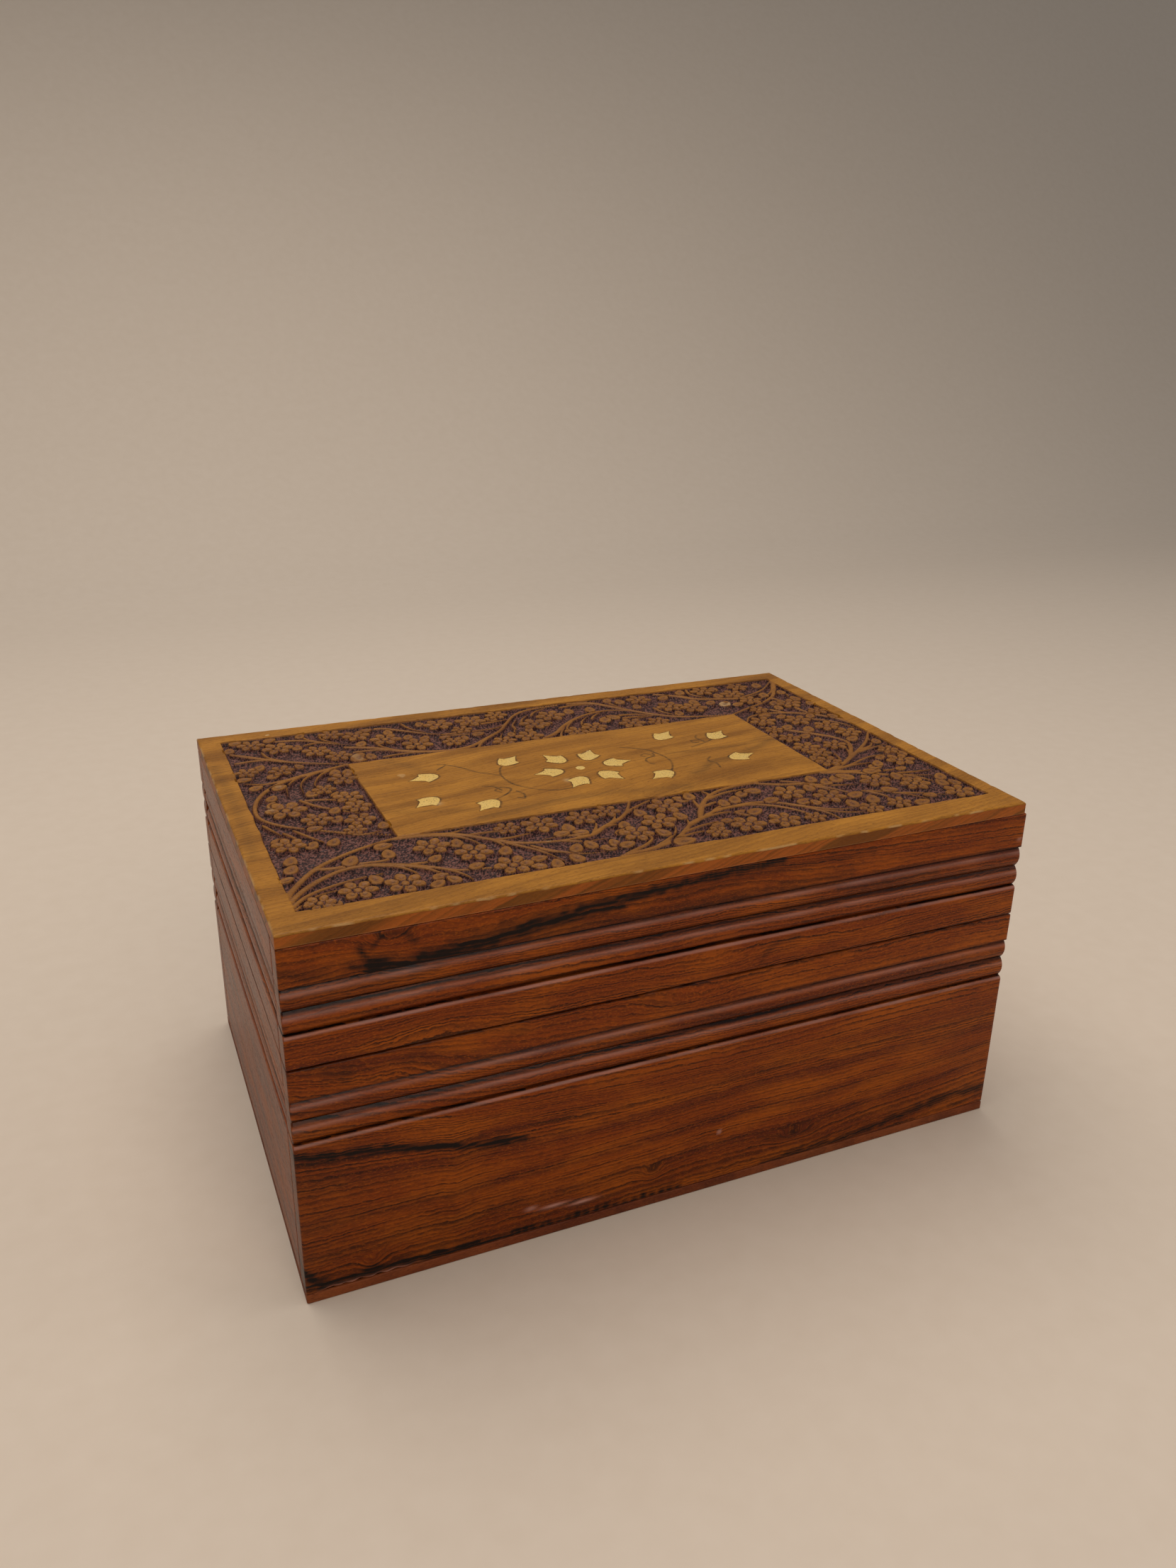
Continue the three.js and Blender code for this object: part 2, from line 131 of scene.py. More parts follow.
# a smooth random field: values on a lattice, blended with 3t^2 - 2t^3 between lattice points
def uneven(u, v, size, seed):
    lattice = np.random.default_rng(seed).uniform(-1, 1, (64, 64))
    a, b = np.asarray(u) / size + 900, np.asarray(v) / size + 900
    i, j = np.floor(a).astype(int), np.floor(b).astype(int)
    s, t = a - i, b - j
    s, t = s * s * (3 - 2 * s), t * t * (3 - 2 * t)
    nextI, nextJ = (i + 1) % 64, (j + 1) % 64
    i, j = i % 64, j % 64
    low = lattice[i, j] * (1 - s) + lattice[nextI, j] * s
    high = lattice[i, nextJ] * (1 - s) + lattice[nextI, nextJ] * s
    return low * (1 - t) + high * t


# 0 below low, 1 above high, 3t^2 - 2t^3 between
def smooth(low, high, value):
    t = np.clip((value - low) / (high - low), 0, 1)
    return t * t * (3 - 2 * t)


# an open path through given points, by the Catmull-Rom cubic
def throughPoints(points, steps):
    p = np.array(points, float)
    p = np.vstack([2 * p[0] - p[1], p, 2 * p[-1] - p[-2]])
    count = len(p) - 3
    place = np.linspace(0, count - 1e-9, steps)
    i = place.astype(int)
    t = (place - i)[:, None]
    a, b, c, d = p[i], p[i + 1], p[i + 2], p[i + 3]
    return 0.5 * (
        2 * b + (c - a) * t + (2 * a - 5 * b + 4 * c - d) * t ** 2 + (3 * b - a - 3 * c + d) * t ** 3
    )


# quads of a grid of rows x cols vertices, optionally closed round the columns
def gridQuads(rows, cols, closed=False):
    r = np.arange(rows - 1)[:, None]
    c = np.arange(cols if closed else cols - 1)[None, :]
    n = (c + 1) % cols
    return np.stack([r * cols + c, r * cols + n, (r + 1) * cols + n, (r + 1) * cols + c], -1).reshape(-1, 4)


# a piece from places in mm, quads and triangles; extra holds vector attributes
def makePiece(name, places, quads, tris, body, finish, stands=(), extra=None, crease=35):
    mesh = bpy.data.meshes.new(name)
    quads = np.asarray(quads, np.int32).reshape(-1, 4)
    tris = np.asarray(tris, np.int32).reshape(-1, 3)
    loops = np.concatenate([quads.ravel(), tris.ravel()])
    starts = np.concatenate([np.arange(len(quads)) * 4, len(quads) * 4 + np.arange(len(tris)) * 3])
    mesh.vertices.add(len(places))
    mesh.vertices.foreach_set("co", (np.asarray(places) * mm).astype(np.float32).ravel())
    mesh.loops.add(len(loops))
    mesh.loops.foreach_set("vertex_index", loops)
    mesh.polygons.add(len(starts))
    mesh.polygons.foreach_set("loop_start", starts.astype(np.int32))
    mesh.update(calc_edges=True)
    mesh.validate()
    mesh.shade_smooth()
    mesh.set_sharp_from_angle(angle=math.radians(crease))
    for key, values in (extra or {}).items():
        data = mesh.attributes.new(key, "FLOAT_VECTOR", "POINT").data
        data.foreach_set("vector", np.asarray(values, np.float32).ravel())
    mesh.materials.append(finish)
    piece = bpy.data.objects.new(name, mesh)
    bpy.context.scene.collection.objects.link(piece)
    if body:
        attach(piece, body)
    if stands:
        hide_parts(*stands)
    return piece


def boxMm(node):
    low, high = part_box(node)
    return np.array(low) / mm, np.array(high) / mm


# Indian rosewood, planed and varnished: red brown with near-black wavy growth lines and open
# pores under a thin coat of varnish. wood holds mm along, across and into the grain.
wallLook = dict(
    name="rosewoodVarnished",
    # the near-black of the dark marks is laid on heartwood and as painted shade in the grooves; the pinkish
    # pale colour goes on worn spots and as a painted highlight on the beads' upper facets
    dark="#652709", mid="#833806", light="#ad5808", line="#150602", darkMark="#120705", pale="#b58577",
    fleckShare=0.35, poreShare=0.42, biteMm=0.12, bandMm=8, lineMm=1.9, lineShare=0.95, wobbleMm=2.4,
    driftMm=2.6, rough=0.36, shine=0.1, coat=0.12, coatRough=0.2,
    toneShare=0.55,
)
# the same wood lighter and drier on the lid, where years of light have turned it golden
topLook = dict(
    name="rosewoodWaxed",
    dark="#80500f", mid="#98631a", light="#b47a26", line="#4f2c08", darkMark="#38240b", pale="#cfae7c",
    fleckShare=0.2, poreShare=0.42, biteMm=0.12, bandMm=15, lineMm=2.3, lineShare=0.34, wobbleMm=1.6,
    driftMm=5, rough=0.46, shine=0.16, coat=0.06, coatRough=0.3,
    toneShare=0.6,
)
# sapwood, sawn and lightly sanded: paler, finer and duller
plainLook = dict(
    name="sapwoodSanded",
    dark="#5a260e", mid="#743616", light="#935025", line="#35160a", darkMark="#1d0d07", pale="#c29a78",
    fleckShare=0.3, poreShare=0.42, biteMm=0.12, bandMm=6, lineMm=1.4, lineShare=0.35, wobbleMm=0.9,
    driftMm=2, rough=0.6, shine=0.2, coat=0.0, coatRough=0.4,
    toneShare=0.5,
)


def emptyMaterial(name):
    material = bpy.data.materials.new(name)
    material.use_nodes = True
    material.node_tree.nodes.clear()
    return material, material.node_tree


# noise stretched along the grain: size along and across it in mm, and detail. Pores are drawn
# about three times their real 0.1 mm so that they show
woodNoise = dict(
    wobble=(5, 3.0, 3), drift=(70, 16, 2), tone=(38, 13, 3), pores=(2.6, 0.3, 1),
    flecks=(1.1, 0.45, 2), specks=(3.4, 0.5, 2), patches=(22, 4, 2),
)


def woodFinish(look, carved=None):
    material, tree = emptyMaterial(look["name"])
    times, timesAdd = dict(operation="MULTIPLY"), dict(operation="MULTIPLY_ADD")
    soft, tint = dict(interpolation_type="SMOOTHSTEP"), dict(data_type="RGBA")
    wood = addNode(tree, "Attribute", attribute_name="wood").outputs["Vector"]
    marks = addNode(tree, "Attribute", attribute_name="marks").outputs["Vector"]
    marked = addNode(tree, "SeparateXYZ", {0: marks})
    placed = addNode(tree, "SeparateXYZ", {0: wood})
    noise = {}
    for name, (along, across, detail) in woodNoise.items():
        scaled = addNode(tree, "Mapping", {"Vector": wood, "Scale": (1 / along, 1 / across, 1 / across)})
        noise[name] = addNode(tree, "TexNoise", {"Vector": scaled, "Scale": 1.0, "Detail": detail})
    wobble = addNode(
        tree, "Math", {0: noise["wobble"], 1: look["wobbleMm"], 2: placed.outputs["Y"]}, **timesAdd
    )
    drift = addNode(tree, "Math", {0: noise["drift"], 1: look["driftMm"], 2: wobble}, **timesAdd)
    for name, pitch, detail in (("bands", look["bandMm"], 3.0), ("swell", look["lineMm"] * 6, 2.0)):
        turns = addNode(tree, "Math", {0: drift, 1: pitch}, operation="DIVIDE")
        noise[name] = addNode(
            tree, "TexNoise", {"W": turns, "Scale": 1.0, "Detail": detail}, noise_dimensions="1D",
        )
    # one growth ring per cycle, ring widths swelling and shrinking; each line has its own strength
    turns = addNode(tree, "Math", {0: drift, 1: look["lineMm"]}, operation="DIVIDE")
    cycles = addNode(tree, "Math", {0: noise["swell"], 1: 3.5, 2: turns}, **timesAdd)
    ring = addNode(tree, "Math", {0: cycles}, operation="FRACT")
    count = addNode(tree, "Math", {0: cycles}, operation="FLOOR")
    strength = addNode(tree, "TexWhiteNoise", {"W": count}, noise_dimensions="1D").outputs["Value"]
    ranges = dict(
        bands=(noise["bands"], 0.36, 0.56), tone=(noise["tone"], 0.40, 0.70),
        pores=(noise["pores"], 0.60, 0.72),
        gather=(ring, 0.16, 0.86), end=(ring, 1.0, 0.93), patches=(noise["patches"], 0.34, 0.56),
        flecks=(noise["flecks"], 0.50, 0.70), specks=(noise["specks"], 0.53, 0.68),
    )
    part = {}
    for name, (source, low, high) in ranges.items():
        part[name] = addNode(tree, "MapRange", {"Value": source, "From Min": low, "From Max": high}, **soft)
    late = addNode(tree, "Math", {0: part["gather"], 1: part["end"]}, **times)
    strong = addNode(tree, "Math", {0: strength, 1: 0.7, 2: 0.3}, **timesAdd)
    late = addNode(tree, "Math", {0: late, 1: strong}, **times)
    patchy = addNode(tree, "Math", {0: part["patches"], 1: 0.45, 2: 0.55}, **timesAdd)
    lines = addNode(tree, "Math", {0: late, 1: patchy}, **times)
    colour = addNode(tree, "Mix", {"Factor": part["bands"], 6: look["dark"], 7: look["mid"]}, **tint)
    layers = [
        (part["tone"], look["toneShare"], look["light"]), (lines, look["lineShare"], look["line"]),
        (part["pores"], look["poreShare"], look["line"]), (part["flecks"], look["fleckShare"], look["light"]),
        (part["specks"], look["fleckShare"], look["line"]),
    ]
    for source, share, over in layers:
        factor = addNode(tree, "Math", {0: source, 1: share}, **times)
        colour = addNode(tree, "Mix", {"Factor": factor, 6: colour, 7: over}, **tint)
    # marks X darkens and Y lightens: heartwood, stains and wear; on the routed walls X also carries painted
    # shade (grooves, down-facing facets, lid and base seam) and Y a painted highlight on up-facing facets
    figured = addNode(tree, "Math", {0: late, 1: 0.5, 2: 0.7}, **timesAdd)
    darkMark = addNode(tree, "Math", {0: marked.outputs["X"], 1: figured}, **times)
    for source, over in ((darkMark, look["darkMark"]), (marked.outputs["Y"], look["pale"])):
        factor = addNode(tree, "Clamp", {0: source})
        colour = addNode(tree, "Mix", {"Factor": factor, 6: colour, 7: over}, **tint)
    rough = addNode(tree, "Math", {0: noise["tone"], 1: 0.14, 2: look["rough"] - 0.07}, **timesAdd)
    rough = addNode(tree, "Math", {0: part["pores"], 1: 0.22, 2: rough}, **timesAdd)
    height = addNode(tree, "Math", {0: lines, 1: -0.35}, **times)
    height = addNode(tree, "Math", {0: part["pores"], 1: -0.6, 2: height}, **timesAdd)
    distance = look["biteMm"] * mm
    if carved:
        # dark purple-brown stain lies in the cut ground, the raised tops are rubbed back, and the
        # board's outer edge (depth below 0) is redder, with sawn streaks
        speck = addNode(tree, "TexNoise", {"Vector": wood, "Scale": 1 / carved["stippleMm"], "Detail": 2.0})
        ranges = dict(
            stain=(speck, 0.42, 0.62), streaks=(noise["bands"], 0.52, 0.42),
            edge=(marked.outputs["Z"], -0.1, -0.7),
            cut=(marked.outputs["Z"], 0.14, 0.5), rubbed=(marked.outputs["Z"], 0.02, 0.1),
        )
        for name, (source, low, high) in ranges.items():
            part[name] = addNode(
                tree, "MapRange", {"Value": source, "From Min": low, "From Max": high}, **soft
            )
        stained = {"Factor": part["stain"], 6: carved["groundDark"], 7: carved["groundLight"]}
        ground = addNode(tree, "Mix", stained, **tint)
        tops = addNode(tree, "Mix", {"Factor": 0.6, 6: colour, 7: carved["tops"]}, **tint)
        sawn = carved["edge"]
        for source, share in ((part["streaks"], 0.75), (late, 0.55)):
            factor = addNode(tree, "Math", {0: source, 1: share}, **times)
            sawn = addNode(tree, "Mix", {"Factor": factor, 6: sawn, 7: look["line"]}, **tint)
        sawn = addNode(tree, "Mix", {"Factor": 0.25, 6: sawn, 7: colour}, **tint)
        for source, over in ((part["edge"], sawn), (part["rubbed"], tops), (part["cut"], ground)):
            colour = addNode(tree, "Mix", {"Factor": source, 6: colour, 7: over}, **tint)
        sunk = addNode(tree, "Clamp", {0: marked.outputs["Z"]})
        pitted = addNode(tree, "Math", {0: sunk, 1: 1.6}, **times)
        height = addNode(tree, "Math", {0: speck, 1: pitted, 2: height}, **timesAdd)
        duller = carved["groundRough"] - look["rough"]
        rough = addNode(tree, "Math", {0: sunk, 1: duller, 2: rough}, **timesAdd)
        distance = carved["biteMm"] * mm
    bump = addNode(tree, "Bump", {"Height": height, "Strength": 0.55, "Distance": distance})
    shader = addNode(tree, "BsdfPrincipled", {
        "Base Color": colour, "Roughness": rough, "Normal": bump, "Coat Weight": look["coat"],
        "Coat Roughness": look["coatRough"], "IOR": 1.5, "Specular IOR Level": look["shine"],
    })
    addNode(tree, "OutputMaterial", {0: shader})
    return material


# a board's section is a rounded rectangle, lofted up through levels; on routed faces the
# rectangle is inset by the cutter's depth at that level
rout = dict(pitch=8.85, beads=2, depth=1.8, sunk=0.12, quirk=0.2, rounding=1.6, lidTop=131.1, baseTop=87.2)
board = dict(thick=10.0, corner=0.7, ease=0.5, rowStep=1.0, beadSteps=12, ripple=0.07)


# depth of the cutter's mark at a drop below the top groove: quirk, arcs y = s + R - sqrt(R^2 - t^2),
# quarter round
def routDepth(drop):
    rise = rout["depth"] - rout["sunk"]
    radius = (rout["pitch"] ** 2 / 4 + rise ** 2) / (2 * rise)
    foot = rout["quirk"] + rout["pitch"] * rout["beads"]
    off = (drop - rout["quirk"]) % rout["pitch"] - rout["pitch"] / 2
    arc = rout["sunk"] + radius - np.sqrt(radius ** 2 - off ** 2)
    turn = np.clip(1 - (drop - foot) / rout["rounding"], 0, 1)
    quarter = rout["rounding"] * (1 - np.sqrt(1 - turn ** 2))
    depth = np.where(drop < rout["quirk"], rout["depth"], np.where(drop < foot, arc, quarter))
    return np.where(drop < 0, 0, depth)


def boardLevels(low, high, top):
    foot = top - rout["quirk"] - rout["pitch"] * rout["beads"]
    ease = board["ease"] * np.array([0, 0.12, 0.4, 1])
    beads = np.linspace(foot, top - rout["quirk"], rout["beads"] * board["beadSteps"] + 1)[:-1]
    rounding = foot - rout["rounding"] * np.array([1, 0.8, 0.6, 0.4, 0.25, 0.12, 0.04])
    under = np.arange(low + 1.2, rounding[0] - 0.6, board["rowStep"])
    over = np.arange(top + 0.9, high - 0.8, board["rowStep"])
    mouth = top - np.array([rout["quirk"], 0, -0.04])
    return np.concatenate([low + ease, under, rounding, beads, mouth, over, (high - ease)[::-1]])


# rounded rectangle of the section, counterclockwise from the outer face's left end
def sectionOutline(half, thick, step, ends=8):
    r = board["corner"]
    faceX = np.linspace(-half + r, half - r, int(2 * half / step))
    endY = np.linspace(r, thick - r, ends)
    bend = np.linspace(0, np.pi / 2, 4)[1:-1]
    def corner(cx, cy, start):
        return np.stack([cx + r * np.cos(bend + start), cy + r * np.sin(bend + start)], 1)
    return np.vstack([
        np.stack([faceX, 0 * faceX], 1), corner(half - r, r, -np.pi / 2),
        np.stack([0 * endY + half, endY], 1), corner(half - r, thick - r, 0),
        np.stack([faceX[::-1], 0 * faceX + thick], 1), corner(-half + r, thick - r, np.pi / 2),
        np.stack([0 * endY - half, endY[::-1]], 1), corner(-half + r, r, np.pi),
    ])


# Each board: body, way it faces (turns of a quarter), step of its columns in mm, bow of its beads,
# bends that lift the growth lines (along, height, reach along, reach up, lift), dark patches
# (heartwood, and on the base front a broad darkening towards its left end and bottom) and chips
# (along, height, reach, depth), all from the board's own left end and the table.
boards = dict(
    lid_front_wall=dict(
        body="lid", quarter=0, step=1.0, bow=1.3, seed=11, slopes=[(0.05, 0, 305, 100, 151)],
        bends=[
            (37, 142, 10, 5, 5), (30, 134, 16, 6, -3), (62, 137, 30, 7, 4), (160, 140, 60, 6, -3),
            (165, 104, 22, 8, 5), (55, 106, 18, 6, -3), (225, 106, 26, 7, 3),
        ],
        dark=[
            ([(27, 141), (29, 137), (33, 133)], 1.3, 1.1),
            ([(30, 132.8), (45, 131.8), (65, 134.6), (88, 137.3)], 3.0, 1.4),
            ([(80, 136.5), (100, 139), (118, 141.2), (137, 142), (188, 145)], 2.3, 1.35),
            ([(40, 131), (62, 132), (84, 135.2), (104, 137), (122, 139)], 1.9, 1.2),
            ([(60, 136.6), (84, 139.6), (104, 141.4)], 1.4, 0.8),
            ([(31, 140), (35, 144), (42, 143.4), (46, 139.5)], 1.3, 0.8),
            ([(24, 134), (30, 132), (40, 131)], 1.8, 0.9),
            ([(140, 138), (180, 140.5), (230, 142)], 1.6, 0.5),
            ([(0, 137), (12, 133), (26, 132)], 1.8, 0.5),
            ([(60, 133), (140, 133.5), (220, 134)], 2.0, 0.45),
            ([(0, 127), (20, 126), (52, 127.5)], 2.2, 0.5),
            ([(215, 127.5), (240, 126.5), (262, 127)], 1.5, 0.6),
            ([(120, 131), (190, 130.8), (250, 131)], 1.0, 0.4),
            ([(182, 103), (186, 108), (198, 111)], 1.3, 0.5),
        ],
        chips=[], pale=[(303, 134.5, 1.2, 0.6)],
    ),
    lid_back_wall=dict(body="lid", quarter=2, step=2.4, bow=0.4, seed=12),
    lid_left_wall=dict(body="lid", quarter=3, step=2.4, bow=0.3, seed=13),
    lid_right_wall=dict(body="lid", quarter=1, step=2.4, bow=0.3, seed=14),
    base_front_wall=dict(
        body="base", quarter=0, step=1.0, bow=0.5, seed=21,
        slopes=[(0.17, 0, 88, 20, 70), (0.035, 88, 190, 40, 90), (-0.11, 212, 300, 46, 14)],
        bends=[
            (138, 16, 5, 3.5, 4), (204, 15.5, 9, 3, 4.5), (25, 11, 5, 4, 4), (57, 38, 5, 26, 1.6),
            (168, 50, 4, 34, 0.9), (84, 55, 26, 12, -3), (230, 30, 30, 8, 2), (146, 92, 22, 5, 4),
            (40, 92, 12, 5, -3),
        ],
        dark=[
            ([(0, 64.5), (14, 62), (32, 59), (50, 54.5), (66, 51), (84, 48.5)], 1.8, 1.35),
            # the next two darken the board broadly towards its left end and along its bottom
            ([(0, 70), (4, 40), (6, 10), (60, 6)], 26, 0.3), ([(60, 8), (150, 7), (260, 9)], 12, 0.22),
            (
                [(0, 14), (5, 8), (10, 6.5), (22, 7), (34, 6.8), (60, 5.6), (74, 5.2), (150, 4.8)], 2.2,
                1.35,
            ),
            ([(1, 7), (4.5, 6.5), (8, 7.5)], 3.0, 1.1),
            ([(2, 15), (14, 9), (30, 8.6), (44, 8)], 0.9, 0.6),
            ([(190, 5), (212, 5.2), (235, 6.4), (262, 9.8), (285, 12.5), (304, 12.8)], 2.1, 1.1),
            ([(190, 17), (204, 15), (216, 15.5)], 1.8, 0.55), ([(14, 95.5), (20, 94.5)], 3.4, 0.55),
            ([(41, 94), (48, 96)], 2.6, 0.3), ([(78, 93), (84, 97)], 2.2, 0.35),
            ([(135, 95), (150, 91)], 2.2, 0.35), ([(180, 76), (210, 75.5)], 1.6, 0.35),
            ([(156, 85), (164, 83), (175, 80)], 1.4, 0.4), ([(0, 84), (30, 80)], 1.6, 0.3),
        ],
        chips=[
            (9, 4.4, 2.6, 1.6), (14, 4.2, 2.0, 1.2), (20, 4.6, 2.6, 1.5), (27, 4.3, 2.2, 1.3),
            (33, 4.7, 2.4, 1.1), (40, 4.3, 2, 0.8), (1, 7, 1.6, 0.7),
        ],
        pale=[
            (86.5, 15, 2.2, 0.8), (96, 13.4, 5, 0.9), (108, 11.6, 5, 0.9), (168, 27, 0.6, 1.5),
            (14, 4.5, 6, 0.8), (30, 4.4, 8, 0.8),
        ],
    ),
    base_back_wall=dict(body="base", quarter=2, step=2.4, bow=0.2, seed=22),
    base_left_wall=dict(body="base", quarter=3, step=2.4, bow=0.2, seed=23),
    base_right_wall=dict(body="base", quarter=1, step=2.4, bow=0.2, seed=24),
)


# nearness 1 to 0 of points to a path through given points: exp(-(distance / width)^2)
def nearPath(u, v, points, width):
    run = np.hypot(*np.diff(np.array(points, float), axis=0).T).sum()
    line = throughPoints(points, int(run / (0.5 * width)) + 8)
    best = np.full(u.shape, 1e9)
    for x, y in line:
        best = np.minimum(best, (u - x) ** 2 + (v - y) ** 2)
    return np.exp(-best / width ** 2)


# growth-line height of a point: its own height, slopes, and bell-shaped lifts round knots
def grainHeight(plan, along, height):
    ring = height.copy()
    for slope, start, end, low, high in plan.get("slopes", []):
        weight = smooth(low, high, height) if high > low else 1 - smooth(high, low, height)
        ring += slope * (np.clip(along, start, end) - start) * weight
    rng = np.random.default_rng(plan["seed"])
    spans = ((0, 300), (0, 150), (20, 50), (6, 18), (-6, 6))
    loose = [[rng.uniform(*span) for span in spans] for _ in range(7)]
    for x, z, reachX, reachZ, lift in plan.get("bends", loose):
        ring += lift * np.exp(-((along - x) / reachX) ** 2 - ((height - z) / reachZ) ** 2)
    return ring + 1.4 * uneven(along, height, 34, plan["seed"]) + plan["seed"] * 3.7


def wallBoard(node, finish):
    plan = boards[node]
    low, high = boxMm(node)
    long = plan["quarter"] % 2
    half = (high - low)[long] / 2
    middle = (low + high) / 2
    top = rout["lidTop"] if node.startswith("lid") else rout["baseTop"]
    levels = boardLevels(low[2], high[2], top)
    outline = sectionOutline(half, board["thick"], plan["step"])
    level, x0 = np.meshgrid(levels, outline[:, 0], indexing="ij")
    y0 = np.broadcast_to(outline[:, 1], x0.shape)
    near = np.clip(1 - np.abs(level - top + 9) / 30, 0, 1) * smooth(low[2], low[2] + 8, level) * (
        1 - smooth(high[2] - 8, high[2], level)
    )
    z = level + plan["bow"] * near * (0.6 - (x0 / half) ** 2)
    cut = routDepth(top - level)
    edge = np.minimum(level - low[2], high[2] - level)
    ease = board["ease"] - np.sqrt(board["ease"] ** 2 - np.clip(board["ease"] - edge, 0, board["ease"]) ** 2)
    face = 1 - y0 / board["thick"]
    endCut = cut * 0.2 if not long else 0 * cut
    x = x0 * (1 - (endCut + ease) / half)
    y = (cut + ease) * face + ease * -(1 - face) + y0
    y = y + face * board["ripple"] * (
        uneven(x0, level, 26, plan["seed"]) + 0.5 * uneven(x0, level, 6, plan["seed"] + 1)
    )
    along = x + half
    for cx, cz, reach, depth in plan.get("chips", []):
        bite = np.exp(-(((along - cx) / reach) ** 2 + ((z - cz) / (reach * 0.55)) ** 2) ** 1.5)
        y = y + face * 0.5 * depth * bite * (1 + 0.4 * uneven(x0, level, 0.9, 5))
    ring = grainHeight(plan, along, z)
    dark = 0 * z
    for points, width, amount in plan.get("dark", []):
        wander = 0.5 * width * uneven(along, z, 3.2, plan["seed"] + 7)
        dark = np.maximum(dark, amount * nearPath(along, z + wander, points, width))
    # painted shade: the colour is darkened deep in the cuts, on the facets that look down and along the mouth
    # of the top groove, where shade falls
    facing = (routDepth(top - level - 0.15) - routDepth(top - level + 0.15)) / 0.3
    dark = np.maximum(dark, 0.97 * face * smooth(0.32, 0.62, cut / rout["depth"]))
    dark = np.maximum(dark, 0.4 * face * smooth(0.1, 0.9, -facing) * (cut > 0))
    dark = np.maximum(dark, 0.9 * face * (np.abs(top - level) < 0.1))
    # painted shade: a dark line within 0.7 mm of the lid's lower edge and the base's upper edge, for the
    # shadow in the gap between them
    dark = np.maximum(
        dark, 0.75 * smooth(0.7, 0.1, high[2] - level if node.startswith("base") else level - low[2]),
    )
    # painted highlight: the facets that look up, faintly on the side boards, are lightened to pinkish pale, a
    # painted reflection of the light from above
    pale = (0.1 if long else 0.5) * face * smooth(0.04, 0.4, facing) * (
        1 - smooth(0.3, 0.5, cut / rout["depth"])
    ) * (
        0.8 + 0.3 * uneven(along, z, 14, plan["seed"] + 5)
    )
    for cx, cz, reach, amount in plan.get("pale", []):
        pale = np.maximum(pale, amount * np.exp(-((along - cx) / reach) ** 2 - ((z - cz) / 0.7) ** 2))
    pale = pale * (y0 < 0.1) + 0.10 * smooth(0.4, 0.0, edge) * uneven(along, z, 5, 3)
    marks = np.stack([dark, np.clip(pale, 0, 1), 0 * z], -1).reshape(-1, 3)
    wood = np.stack([along, ring, y + plan["seed"] * 11], -1).reshape(-1, 3)
    # turned by quarters about Z to face its side, with its outer face on the board's outer plane
    out = [(0, -1), (1, 0), (0, 1), (-1, 0)][plan["quarter"]]
    right = (-out[1], out[0])
    plane = (middle + (high - low) / 2 * np.array([out[0], out[1], 0]))[:2]
    across = middle[long]
    px = x * right[0] - y * out[0] + (plane[0] if out[0] else across)
    py = x * right[1] - y * out[1] + (plane[1] if out[1] else across)
    places = np.stack([px, py, z], -1).reshape(-1, 3)
    rows, cols = level.shape
    return finishLoft(
        node + "_board", places, rows, cols, plan["body"], finish, (node,),
        dict(wood=wood, marks=marks),
    )


# closes a loft's two ends, each with a fan of triangles to its middle point
def finishLoft(name, places, rows, cols, body, finish, stands, extra):
    quads = gridQuads(rows, cols, closed=True)
    middles = []
    tris = []
    for row, flip in ((0, True), (rows - 1, False)):
        rim = row * cols + np.arange(cols)
        centre = len(places) + len(middles)
        middles.append(row)
        fan = np.stack([rim, np.roll(rim, -1), np.full(cols, centre)], 1)
        tris.append(fan[:, ::-1] if flip else fan)
    rims = [slice(row * cols, (row + 1) * cols) for row in middles]
    places = np.vstack([places] + [places[rim].mean(0) for rim in rims])
    for key, values in extra.items():
        extra[key] = np.vstack([values] + [values[rim].mean(0) for rim in rims])
    return makePiece(name, places, quads, np.vstack(tris), body, finish, stands, extra)


wallFinish = woodFinish(wallLook)
for nodeName in boards:
    wallBoard(nodeName, wallFinish)
print("walls routed")


